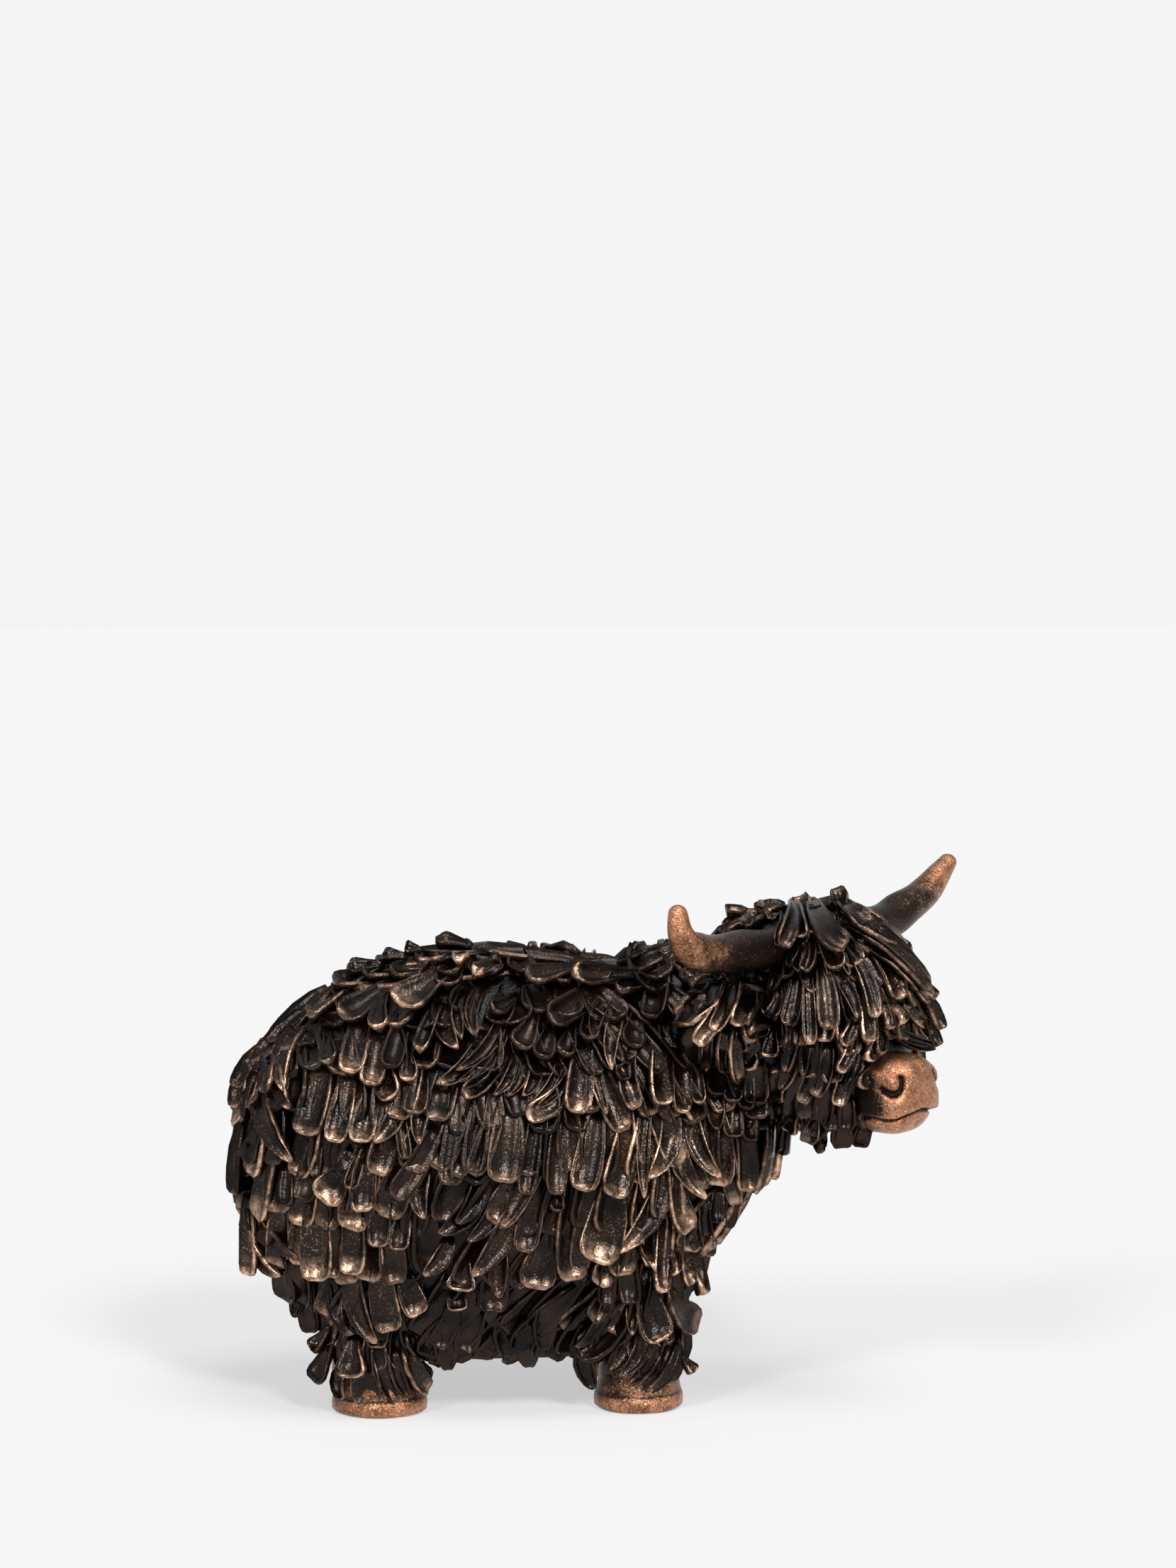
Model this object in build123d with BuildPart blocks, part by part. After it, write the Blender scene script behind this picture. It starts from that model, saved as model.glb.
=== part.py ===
"""Highland cow ornament in cold-cast bronze, standing on four short legs with its head turned to its right.

The frame stands on the floor, under the middle of the whole ornament. +X is the way the trunk faces, +Y
is the cow's left and +Z is up. The shaggy coat is carved as tiers of flat, round-ended locks that hang
over each other, and it is one with the casting under it. Lengths are in millimetres, angles in degrees.

The pieces are built with the origin between the four hooves and the trunk's middle plane at Y = 0.
"""

from build123d import *
from math import copysign, cos, radians, sin
import os

# Trunk under its coat. A level of shares gives the rise from the lowest level to the highest, then the
# shift forward, the half length and the half width, as shares of the form's height, length and width.
BACK_HEIGHT = 123.5
BELLY_HEIGHT = 15.0
TRUNK_LENGTH = 137.0
TRUNK_WIDTH = 83.0
TRUNK_LEVEL_SHARES = (
    (0.00, 0.000, 0.330, 0.350),
    (0.13, -0.010, 0.385, 0.430),
    (0.19, -0.030, 0.432, 0.455),
    (0.30, -0.040, 0.476, 0.488),
    (0.45, -0.034, 0.500, 0.500),
    (0.61, -0.030, 0.496, 0.485),
    (0.75, -0.015, 0.470, 0.435),
    (0.87, 0.018, 0.385, 0.335),
    (0.95, 0.044, 0.300, 0.225),
    (1.00, 0.067, 0.224, 0.112),
)

# Shoulders, chest and mane in front of the trunk
MANE_SETBACK = 12.5
MANE_HEM_HEIGHT = 22.0
MANE_TOP_DROP = 1.0
MANE_LENGTH = 48.0
MANE_WIDTH = 59.0
MANE_LEVEL_SHARES = (
    (0.00, -0.356, 0.222, 0.285),
    (0.17, -0.320, 0.300, 0.393),
    (0.31, -0.170, 0.400, 0.464),
    (0.46, -0.020, 0.490, 0.500),
    (0.62, 0.044, 0.489, 0.500),
    (0.79, 0.022, 0.444, 0.464),
    (0.91, -0.067, 0.400, 0.375),
    (1.00, -0.178, 0.289, 0.214),
)

# Neck and the flat joint where the head is glued on with a dowel
NECK_JOINT_REACH = 5.5
NECK_JOINT_OFFSET = 7.0
NECK_JOINT_DROP = 23.5
NECK_TURN = 23.0
NECK_RISE = 16.0
NECK_DIAMETER = 38.0
NECK_ROOT_DIAMETER = 44.0
NECK_LENGTH = 20.0
NECK_STUB_LENGTH = 16.0
NECK_CUT_DIAMETER = 84.0
DOWEL_DIAMETER = 6.0
DOWEL_LENGTH = 30.0

# Hollow of the slush casting, the pour hole in its belly and the plug that closes it
WALL = 8.0
FLOOR_WALL = 6.0
HOLLOW_RISE_SHARES = (0.06, 0.22, 0.45, 0.65, 0.79)
PLUG_DIAMETER = 16.0
PLUG_CLEARANCE = 0.1

# Legs, hooves and the felt pads under them
HOOF_SPACING = 71.5
HOOF_TRACK = 42.0
FORE_HOOF_SETBACK = 30.0
HOOF_DIAMETER = 26.5
HOOF_TOP_DIAMETER = 23.0
HOOF_HEIGHT = 9.5
HOOF_ROUNDING = 1.6
ANKLE_DIAMETER = 20.5
LEG_TOP_DIAMETER = 25.0
LEG_TOP_HEIGHT = 40.0
PAD_DIAMETER = 19.0
PAD_THICKNESS = 1.0

# Head, in a frame of its own: origin on the poll between the horns, X towards the face, Z up
POLL_REACH = 17.0
POLL_OFFSET = 5.0
POLL_RISE = 26.5
HEAD_TURN = 47.0
HEAD_ROLL = 3.0
CROWN_RISE = 11.0
HEAD_HEIGHT = 62.0
HEAD_LENGTH = 45.0
HEAD_WIDTH = 53.0
HEAD_LEVEL_SHARES = (
    (0.00, 0.130, 0.240, 0.240),
    (0.16, 0.110, 0.410, 0.410),
    (0.36, 0.087, 0.500, 0.500),
    (0.60, 0.065, 0.500, 0.480),
    (0.79, 0.043, 0.435, 0.410),
    (0.93, 0.033, 0.304, 0.278),
    (1.00, 0.022, 0.152, 0.148),
)

# Bare muzzle, in a frame that looks out along the nose. A section gives its reach, width and height as
# shares of the muzzle's.
MUZZLE_ROOT_SETBACK = 6.5
MUZZLE_DROP_SHARE = 0.61
MUZZLE_PITCH = 8.0
MUZZLE_LENGTH = 18.0
MUZZLE_WIDTH = 25.5
MUZZLE_HEIGHT = 21.0
MUZZLE_SECTION_SHARES = ((0.00, 0.92, 0.90), (0.40, 1.00, 1.00), (0.75, 0.90, 0.94), (1.00, 0.66, 0.76))
MUZZLE_ROUNDING = 4.0
NOSTRIL_DIAMETER = 3.6
NOSTRIL_DEPTH = 4.5
NOSTRIL_SPACING = 16.0
NOSTRIL_RISE = 2.5
MOUTH_DROP = 5.0
MOUTH_GAP = 1.2
MOUTH_DEPTH = 3.0

# Horns, each a straight root and a curve up to a round tip, glued into a socket with a pin
HORN_ROOT_DIAMETER = 13.0
HORN_BEND_DIAMETER = 11.6
HORN_TIP_DIAMETER = 5.2
HORN_STRAIGHT = 20.0
HORN_CURVE_RADIUS = 25.0
HORN_CURVE = 66.0
HORN_RISE = 2.0
HORN_SOCKET_DEPTH = 10.5
HORN_SOCKET_CLEARANCE = 0.3
HORN_PIN_DIAMETER = 2.5
HORN_PIN_LENGTH = 18.0

# Ears, each a fan of locks under a horn
EAR_SETBACK = 7.5
EAR_DROP = 7.0
EAR_LENGTH = 25.0
EAR_LOCK_WIDTH = 8.0
EAR_DROOPS = (14.0, 38.0, 62.0)

# Tail, a tapering cord of hair laid down the rump, as shares of the trunk's length and height
TAIL_DIAMETERS = (9.0, 10.0, 11.0, 13.0, 8.0)
TAIL_PLACE_SHARES = ((-0.30, 0.93), (-0.45, 0.81), (-0.53, 0.63), (-0.548, 0.44), (-0.545, 0.30))
TAIL_OFFSET = 3.0

# Tiers of locks. A tier gives the rise of its roots and how far it hangs, as shares of the form's height,
# then its number of locks, the angles it runs between and how far its tips swing round to the back.
LOCK_THICKNESS = 2.2
LOCK_SINK = 3.2
LOCK_LIFT = 1.4
LOCK_ROOT_WIDTH_SHARE = 0.72
HANG_VARIATION = 0.12
TRUNK_LOCK_WIDTH = 15.0
TRUNK_TIERS = (
    (0.97, 0.23, 16, 24, 336, 14),
    (0.82, 0.24, 18, 32, 328, 12),
    (0.65, 0.24, 19, 34, 326, 10),
    (0.48, 0.24, 19, 34, 326, 8),
    (0.30, 0.28, 18, 30, 330, 6),
)
MANE_LOCK_WIDTH = 12.0
MANE_TIERS = (
    (0.97, 0.25, 7, -125, 125, -12),
    (0.78, 0.25, 8, -125, 125, -12),
    (0.59, 0.23, 8, -120, 120, -10),
    (0.40, 0.22, 7, -115, 115, -8),
    (0.22, 0.22, 6, -110, 110, -6),
)
HEAD_LOCK_WIDTH = 10.5
HEAD_TIERS = (
    (0.98, 0.28, 8, -180, 180, 0),
    (0.84, 0.30, 11, -180, 180, 6),
    (0.66, 0.28, 11, -180, 180, 6),
    (0.47, 0.27, 8, 42, 318, 6),
    (0.28, 0.24, 6, 60, 300, 6),
)
LEG_LOCK_WIDTH = 10.5
LEG_TIERS = ((0.60, 0.52, 8, 0, 360, 8),)
SPINE_LOCKS = 5
SPINE_LOCK_LENGTH = 22.0
SPINE_STEP_SHARE = 0.10
SPINE_PARTING = 14.0
SPINE_LIFT = 4.0

OVERRUN = 1.0
SQUARENESS = 2.5
RING_CORNERS = 16


def scaled_levels(shares, low, high, length, width):
    """Levels of a stacked form as heights, centres, half lengths and half widths."""
    return [
        (low + rise * (high - low), shift * length, half_length * length, half_width * width)
        for rise, shift, half_length, half_width in shares
    ]


def level_at(levels, height):
    """The level of a stacked form at a height, read between its levels."""
    for low, high in zip(levels, levels[1:]):
        if height <= high[0] or high is levels[-1]:
            share = (height - low[0]) / (high[0] - low[0])
            return [a + share * (b - a) for a, b in zip(low, high)]


def squared(value):
    """Cosine or sine of an angle, squared up so that a ring is blunter than an ellipse."""
    return copysign(abs(value) ** (2 / SQUARENESS), value)


def ring_point(level, angle):
    """Point on a level's ring, in its own plane, at an angle round from straight ahead."""
    centre, half_length, half_width = level[1:]
    turn = radians(angle)
    return centre + half_length * squared(cos(turn)), half_width * squared(sin(turn))


def ring_face(frame, level):
    """Face inside one level's ring, with straight sides, as a carver roughs a form out."""
    with BuildSketch(frame.offset(level[0])) as ring:
        Polygon(*[ring_point(level, 360 / RING_CORNERS * k) for k in range(RING_CORNERS)], align=None)
    return ring.sketch.face()


def seat(frame, levels, height, angle):
    """Point on a stacked form, at a height in its frame and an angle round from straight ahead."""
    ahead, aside = ring_point(level_at(levels, height), angle)
    return frame.from_local_coords(Vector(ahead, aside, height))


def leaf_face(plane, length, width):
    """Outline of one lock, from its narrow root at the plane's origin to its round tip along X."""
    half_tip = width / 2
    half_root = half_tip * LOCK_ROOT_WIDTH_SHARE
    straight = length - half_tip
    with BuildSketch(plane) as leaf:
        with BuildLine():
            Line((0, -half_root), (straight, -half_tip))
            ThreePointArc((straight, -half_tip), (length, 0), (straight, half_tip))
            Line((straight, half_tip), (0, half_root))
            Line((0, half_root), (0, -half_root))
        make_face()
    return leaf.sketch.face()


def lock_face(frame, levels, root_height, tip_height, angle, swing, width):
    """Outline of one lock that hangs on a form, sunk in at its root and a little proud at its tip."""
    root = seat(frame, levels, root_height, angle)
    tip = seat(frame, levels, tip_height, angle + swing)
    beside = seat(frame, levels, root_height, angle + 1) - seat(frame, levels, root_height, angle - 1)
    outward = (tip - root).cross(beside).normalized()
    along = tip + outward * LOCK_LIFT - root
    outward = along.cross(beside).normalized()
    plane = Plane(root - outward * LOCK_SINK, x_dir=along, z_dir=outward)
    return leaf_face(plane, along.length + width / 4, width)


def coat_faces(frame, levels, tiers, width):
    """Outlines of all the locks in a form's tiers. The hang varies a little from lock to lock."""
    low = levels[0][0]
    height = levels[-1][0] - low
    faces = []
    for rise, hang, count, start, end, swing in tiers:
        step = (end - start) / count
        for k in range(count):
            angle = start + step * (k + 0.5)
            drop = min(hang * (1 + HANG_VARIATION * (k % 3 - 1)), rise)
            root_height = low + rise * height
            tip_height = low + (rise - drop) * height
            turned = swing * sin(radians(angle))
            faces.append(lock_face(frame, levels, root_height, tip_height, angle, turned, width))
    return faces


MANE_FRAME = Plane(origin=(TRUNK_LENGTH / 2 - MANE_SETBACK, 0, 0))
NECK_FRAME = Plane(
    origin=(TRUNK_LENGTH / 2 + NECK_JOINT_REACH, -NECK_JOINT_OFFSET, BACK_HEIGHT - NECK_JOINT_DROP),
    x_dir=(sin(radians(NECK_TURN)), cos(radians(NECK_TURN)), 0),
    z_dir=(
        cos(radians(NECK_RISE)) * cos(radians(NECK_TURN)),
        -cos(radians(NECK_RISE)) * sin(radians(NECK_TURN)),
        sin(radians(NECK_RISE)),
    ),
)
HEAD_FRAME = Plane(
    origin=NECK_FRAME.origin + Vector(POLL_REACH, -POLL_OFFSET, POLL_RISE),
    x_dir=(cos(radians(HEAD_TURN)), -sin(radians(HEAD_TURN)), 0),
    z_dir=(0, 0, 1),
).rotated((HEAD_ROLL, 0, 0))
HEAD_BASE = CROWN_RISE - HEAD_HEIGHT
MUZZLE_FRAME = Plane(
    origin=HEAD_FRAME.from_local_coords(
        (HEAD_LENGTH / 2 - MUZZLE_ROOT_SETBACK, 0, -MUZZLE_DROP_SHARE * HEAD_HEIGHT)
    ),
    x_dir=HEAD_FRAME.y_dir,
    z_dir=HEAD_FRAME.x_dir * cos(radians(MUZZLE_PITCH)) - HEAD_FRAME.z_dir * sin(radians(MUZZLE_PITCH)),
)
HORN_FRAME = Plane(
    origin=HEAD_FRAME.from_local_coords((0, HEAD_WIDTH / 2 - HORN_SOCKET_DEPTH, HORN_RISE)),
    x_dir=HEAD_FRAME.z_dir,
    z_dir=HEAD_FRAME.y_dir,
)
HEAD_MIDDLE = Plane(HEAD_FRAME.origin, x_dir=HEAD_FRAME.x_dir, z_dir=HEAD_FRAME.y_dir)
TRUNK_LEVELS = scaled_levels(TRUNK_LEVEL_SHARES, BELLY_HEIGHT, BACK_HEIGHT, TRUNK_LENGTH, TRUNK_WIDTH)
MANE_LEVELS = scaled_levels(
    MANE_LEVEL_SHARES, MANE_HEM_HEIGHT, BACK_HEIGHT - MANE_TOP_DROP, MANE_LENGTH, MANE_WIDTH
)
HEAD_LEVELS = scaled_levels(HEAD_LEVEL_SHARES, HEAD_BASE, CROWN_RISE, HEAD_LENGTH, HEAD_WIDTH)
LEG_LEVELS = [
    (PAD_THICKNESS + HOOF_HEIGHT, 0, ANKLE_DIAMETER / 2, ANKLE_DIAMETER / 2),
    (LEG_TOP_HEIGHT, 0, LEG_TOP_DIAMETER / 2, LEG_TOP_DIAMETER / 2),
]
FORE_HOOF_REACH = TRUNK_LENGTH / 2 - FORE_HOOF_SETBACK
REAR_HOOF_REACH = FORE_HOOF_REACH - HOOF_SPACING
HOOF_PLACES = {
    "front_left": (FORE_HOOF_REACH, HOOF_TRACK / 2),
    "front_right": (FORE_HOOF_REACH, -HOOF_TRACK / 2),
    "rear_left": (REAR_HOOF_REACH, HOOF_TRACK / 2),
    "rear_right": (REAR_HOOF_REACH, -HOOF_TRACK / 2),
}

# One leg with its hoof, a turned form. The casting gets it four times.
with BuildPart() as leg:
    with BuildSketch(Plane.XZ):
        with BuildLine():
            Polyline(
                (0, PAD_THICKNESS),
                (HOOF_DIAMETER / 2, PAD_THICKNESS),
                (HOOF_TOP_DIAMETER / 2, PAD_THICKNESS + HOOF_HEIGHT),
                (ANKLE_DIAMETER / 2, PAD_THICKNESS + HOOF_HEIGHT),
                (LEG_TOP_DIAMETER / 2, LEG_TOP_HEIGHT),
                (0, LEG_TOP_HEIGHT),
                close=True,
            )
        make_face()
    revolve(axis=Axis.Z)
    fillet(leg.edges().group_by(Axis.Z)[0], radius=HOOF_ROUNDING)

# Everything that is cut out of the big casting: its hollow, the pour hole, the dowel hole and
# whatever stands in front of the neck joint
with BuildPart() as torso_cuts:
    for rise in HOLLOW_RISE_SHARES:
        height = BELLY_HEIGHT + rise * (BACK_HEIGHT - BELLY_HEIGHT)
        level = level_at(TRUNK_LEVELS, height)
        add(ring_face(Plane.XY, (height, level[1], level[2] - WALL, level[3] - WALL)))
    loft(ruled=True)
    with BuildSketch(Plane.XY.offset(BELLY_HEIGHT - OVERRUN)):
        Circle(PLUG_DIAMETER / 2)
    extrude(amount=OVERRUN + FLOOR_WALL * 2)
    with BuildSketch(NECK_FRAME):
        Circle(DOWEL_DIAMETER / 2)
    extrude(amount=-DOWEL_LENGTH / 2)
    with BuildSketch(NECK_FRAME):
        Circle(NECK_CUT_DIAMETER / 2)
    extrude(amount=NECK_CUT_DIAMETER / 2)

# Trunk, mane, neck, legs and tail under one coat: the big casting
with BuildPart() as torso_casting:
    for level in TRUNK_LEVELS:
        add(ring_face(Plane.XY, level))
    loft(ruled=True)
    for level in MANE_LEVELS:
        add(ring_face(MANE_FRAME, level))
    loft(ruled=True)
    with BuildSketch(NECK_FRAME):
        Circle(NECK_DIAMETER / 2)
    with BuildSketch(NECK_FRAME.offset(-NECK_LENGTH)):
        Circle(NECK_ROOT_DIAMETER / 2)
    loft()
    tail_points = [
        Vector(reach * TRUNK_LENGTH, TAIL_OFFSET, BELLY_HEIGHT + rise * (BACK_HEIGHT - BELLY_HEIGHT))
        for reach, rise in TAIL_PLACE_SHARES
    ]
    for k, diameter in enumerate(TAIL_DIAMETERS):
        ahead = tail_points[min(k + 1, len(tail_points) - 1)]
        behind = tail_points[max(k - 1, 0)]
        with BuildSketch(Plane(tail_points[k], x_dir=(0, 1, 0), z_dir=ahead - behind)):
            Circle(diameter / 2)
    loft()
    with Locations(*HOOF_PLACES.values()):
        add(leg.part)
    locks = coat_faces(Plane.XY, TRUNK_LEVELS, TRUNK_TIERS, TRUNK_LOCK_WIDTH)
    locks = locks + coat_faces(MANE_FRAME, MANE_LEVELS, MANE_TIERS, MANE_LOCK_WIDTH)
    for place in HOOF_PLACES.values():
        locks = locks + coat_faces(Plane(origin=(*place, 0)), LEG_LEVELS, LEG_TIERS, LEG_LOCK_WIDTH)
    for k in range(SPINE_LOCKS):
        side = (-1) ** k
        reach = TRUNK_LEVELS[-1][1] + TRUNK_LEVELS[-1][2] - k * SPINE_STEP_SHARE * TRUNK_LENGTH
        back = Plane(origin=(reach, side * OVERRUN, BACK_HEIGHT - LOCK_SINK))
        back = back.rotated((0, SPINE_LIFT, 180 - side * SPINE_PARTING))
        locks.append(leaf_face(back, SPINE_LOCK_LENGTH, TRUNK_LOCK_WIDTH))
    extrude(locks, amount=LOCK_SINK + LOCK_THICKNESS)
    add(torso_cuts.part, mode=Mode.SUBTRACT)
torso_casting.part.label = "torso_casting"

# Horns: a straight root, then sections set round the curve, and a round tip
with BuildPart() as left_horn:
    with BuildSketch(HORN_FRAME):
        Circle(HORN_ROOT_DIAMETER / 2)
    with BuildSketch(HORN_FRAME.offset(HORN_STRAIGHT / 2)):
        Circle((HORN_ROOT_DIAMETER + HORN_BEND_DIAMETER) / 4)
    for share in (0, 0.25, 0.5, 0.75, 1):
        bend = radians(HORN_CURVE * share)
        rise = HORN_CURVE_RADIUS * (1 - cos(bend))
        reach = HORN_STRAIGHT + HORN_CURVE_RADIUS * sin(bend)
        tip = Plane(
            origin=HORN_FRAME.from_local_coords((rise, 0, reach)),
            x_dir=HORN_FRAME.y_dir,
            z_dir=HORN_FRAME.z_dir * cos(bend) + HORN_FRAME.x_dir * sin(bend),
        )
        with BuildSketch(tip):
            Circle((HORN_BEND_DIAMETER + share * (HORN_TIP_DIAMETER - HORN_BEND_DIAMETER)) / 2)
    loft()
    with Locations(tip):
        Sphere(HORN_TIP_DIAMETER / 2)
    with BuildSketch(HORN_FRAME):
        Circle(HORN_PIN_DIAMETER / 2)
    extrude(amount=HORN_PIN_LENGTH / 2, mode=Mode.SUBTRACT)
left_horn.part.label = "left_horn"

with BuildPart() as right_horn:
    mirror(left_horn.part, about=HEAD_MIDDLE)
right_horn.part.label = "right_horn"

# Pins that hold the horns, half in the head and half in the horn
with BuildPart() as left_horn_pin:
    with BuildSketch(HORN_FRAME):
        Circle(HORN_PIN_DIAMETER / 2)
    extrude(amount=HORN_PIN_LENGTH / 2, both=True)
left_horn_pin.part.label = "left_horn_pin"

with BuildPart() as right_horn_pin:
    mirror(left_horn_pin.part, about=HEAD_MIDDLE)
right_horn_pin.part.label = "right_horn_pin"

# Everything that is cut out of the head: horn sockets and pin holes, the dowel hole, nostrils, mouth and
# whatever stands behind the neck joint
with BuildPart() as head_cuts:
    with BuildSketch(HORN_FRAME):
        Circle(HORN_ROOT_DIAMETER / 2 + HORN_SOCKET_CLEARANCE)
    extrude(amount=HORN_STRAIGHT)
    add(left_horn_pin.part)
    mirror(about=HEAD_MIDDLE)
    with BuildSketch(NECK_FRAME):
        Circle(DOWEL_DIAMETER / 2)
    extrude(amount=DOWEL_LENGTH / 2)
    with BuildSketch(NECK_FRAME):
        Circle(NECK_CUT_DIAMETER / 2)
    extrude(amount=-NECK_CUT_DIAMETER / 2)
    with BuildSketch(MUZZLE_FRAME.offset(MUZZLE_LENGTH)):
        with Locations((-NOSTRIL_SPACING / 2, NOSTRIL_RISE), (NOSTRIL_SPACING / 2, NOSTRIL_RISE)):
            Circle(NOSTRIL_DIAMETER / 2)
    extrude(amount=-NOSTRIL_DEPTH)
    with BuildSketch(MUZZLE_FRAME.offset(MUZZLE_LENGTH)):
        with Locations((0, -MOUTH_DROP)):
            Rectangle(MUZZLE_WIDTH, MOUTH_GAP)
    extrude(amount=-MOUTH_DEPTH)

# Bare muzzle, with a round front edge
with BuildPart() as muzzle:
    for reach, width, height in MUZZLE_SECTION_SHARES:
        with BuildSketch(MUZZLE_FRAME.offset(reach * MUZZLE_LENGTH)):
            Ellipse(width * MUZZLE_WIDTH / 2, height * MUZZLE_HEIGHT / 2)
    loft()
    front = muzzle.faces().sort_by(Axis(MUZZLE_FRAME.origin, MUZZLE_FRAME.z_dir))[-1]
    fillet(front.edges(), radius=MUZZLE_ROUNDING)

# Head with its fringe, ears and bare muzzle: the second casting
with BuildPart() as head_casting:
    for level in HEAD_LEVELS:
        add(ring_face(HEAD_FRAME, level))
    loft(ruled=True)
    with BuildSketch(NECK_FRAME):
        Circle(NECK_DIAMETER / 2)
    extrude(amount=NECK_STUB_LENGTH)
    ear_faces = []
    for droop in EAR_DROOPS:
        ear = Plane(
            origin=HEAD_FRAME.from_local_coords((LOCK_THICKNESS, HEAD_WIDTH / 2 - EAR_SETBACK, -EAR_DROP)),
            x_dir=HEAD_FRAME.y_dir * cos(radians(droop)) - HEAD_FRAME.z_dir * sin(radians(droop)),
            z_dir=HEAD_FRAME.x_dir,
        )
        ear_faces.append(leaf_face(ear, EAR_LENGTH, EAR_LOCK_WIDTH))
    ear_faces = ear_faces + [face.mirror(HEAD_MIDDLE) for face in ear_faces]
    locks = coat_faces(HEAD_FRAME, HEAD_LEVELS, HEAD_TIERS, HEAD_LOCK_WIDTH)
    extrude(locks + ear_faces, amount=LOCK_SINK + LOCK_THICKNESS)
    add(muzzle.part)
    add(head_cuts.part, mode=Mode.SUBTRACT)
head_casting.part.label = "head_casting"

# Steel dowel through the neck joint
with BuildPart() as neck_dowel:
    with BuildSketch(NECK_FRAME):
        Circle(DOWEL_DIAMETER / 2)
    extrude(amount=DOWEL_LENGTH / 2, both=True)
neck_dowel.part.label = "neck_dowel"

# Rubber plug in the pour hole, flush with the belly
with BuildPart() as belly_plug:
    with BuildSketch(Plane.XY.offset(BELLY_HEIGHT)):
        Circle(PLUG_DIAMETER / 2 - PLUG_CLEARANCE)
    extrude(amount=FLOOR_WALL)
belly_plug.part.label = "belly_plug"

# Felt pads that the hooves stand on
pads = []
for name, place in HOOF_PLACES.items():
    with BuildPart() as pad:
        with BuildSketch():
            with Locations(place):
                Circle(PAD_DIAMETER / 2)
        extrude(amount=PAD_THICKNESS)
    pad.part.label = f"{name}_pad"
    pads.append(pad)

# Every piece moves alike, so that the origin lies under the middle of the whole ornament, then is saved
castings = [torso_casting, head_casting, left_horn, right_horn]
fittings = [neck_dowel, left_horn_pin, right_horn_pin, belly_plug]
pieces = castings + fittings + pads
middle = Compound([piece.part for piece in castings]).bounding_box().center()
os.makedirs("parts", exist_ok=True)
for piece in pieces:
    piece.part.move(Location((-middle.X, -middle.Y, 0)))
    export_step(piece.part, f"parts/{piece.part.label}.step")
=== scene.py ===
"""A shaggy highland cow ornament in cold-cast bronze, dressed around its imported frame."""

import random
from bisect import bisect
from functools import lru_cache
from math import copysign, cos, exp, hypot, pi, radians, sin

import bmesh
import bpy
from mathutils import Matrix, Vector
from mathutils.bvhtree import BVHTree


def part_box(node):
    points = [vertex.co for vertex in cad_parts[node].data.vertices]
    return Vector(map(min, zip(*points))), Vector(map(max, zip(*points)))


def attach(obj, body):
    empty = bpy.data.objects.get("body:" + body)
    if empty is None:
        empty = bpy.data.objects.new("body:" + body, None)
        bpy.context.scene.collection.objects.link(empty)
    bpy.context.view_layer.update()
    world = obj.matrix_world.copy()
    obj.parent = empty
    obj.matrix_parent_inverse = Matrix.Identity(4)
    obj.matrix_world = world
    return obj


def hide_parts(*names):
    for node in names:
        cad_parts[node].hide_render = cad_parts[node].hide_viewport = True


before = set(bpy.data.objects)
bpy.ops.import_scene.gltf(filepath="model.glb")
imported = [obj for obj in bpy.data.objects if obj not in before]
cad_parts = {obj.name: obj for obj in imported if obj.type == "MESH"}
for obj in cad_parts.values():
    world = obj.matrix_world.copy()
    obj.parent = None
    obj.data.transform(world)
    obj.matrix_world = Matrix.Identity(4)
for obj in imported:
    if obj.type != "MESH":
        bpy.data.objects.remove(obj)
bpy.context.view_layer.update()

# The photograph's place: a seamless pale table under a big overhead softbox, taken with a long lens
# from a little above the cow's back and a few degrees towards its tail. Lengths in metres, and the
# origin of the casting's own measures lies between its hooves, found here from one pad.
MM = 0.001
FRONT_HOOF = (38.5, -21.0)
CAMERA_DISTANCE = 1.100
CAMERA_HEIGHT = 0.254
CAMERA_SIDE = 0.0259
CAMERA_TURN = radians(-4.0)
CAMERA_PITCH = radians(4.31)
LENS = 91.0
BACKDROP = "#f4f4f4"
SHADOW_LIFT = 0.6
ROOM_LIGHT = 0.17
MIRRORED_ROOM = 0.6


def srgb(code):
    """A hex colour as linear red, green, blue and alpha."""
    parts = [int(code[k : k + 2], 16) / 255 for k in (1, 3, 5)]
    linear = [p / 12.92 if p <= 0.04045 else ((p + 0.055) / 1.055) ** 2.4 for p in parts]
    return (*linear, 1.0)


def add_node(tree, kind, inputs=None, **settings):
    """Add a node with its settings. An input is a socket to link from or a plain value."""
    made = tree.nodes.new(kind)
    for key, value in settings.items():
        setattr(made, key, value)
    for key, value in (inputs or {}).items():
        if isinstance(value, bpy.types.NodeSocket):
            tree.links.new(value, made.inputs[key])
        else:
            made.inputs[key].default_value = value
    return made


def start_finish(name):
    """A new material with only its output, and the tree to fill."""
    finish = bpy.data.materials.new(name)
    finish.use_nodes = True
    finish.node_tree.nodes.clear()
    return finish, finish.node_tree


def reckoned(tree, operation, *values, **settings):
    """The result of a sum on numbers or sockets."""
    return add_node(tree, "ShaderNodeMath", dict(enumerate(values)), operation=operation, **settings).outputs[0]


def looking_rays(tree):
    """A tree's light path, and 1 for the rays that look at things instead of lighting them."""
    ray = add_node(tree, "ShaderNodeLightPath")
    looking = reckoned(tree, "MAXIMUM", ray.outputs["Is Camera Ray"], ray.outputs["Is Glossy Ray"])
    return ray, reckoned(tree, "MAXIMUM", looking, ray.outputs["Is Transmission Ray"])


pad_low, pad_high = (Vector(corner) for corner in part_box("front_right_pad"))
standing = (pad_low + pad_high) / 2 - Vector((*FRONT_HOOF, 0)) * MM
standing.z = 0
body_place = Matrix.Translation(standing)

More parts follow.
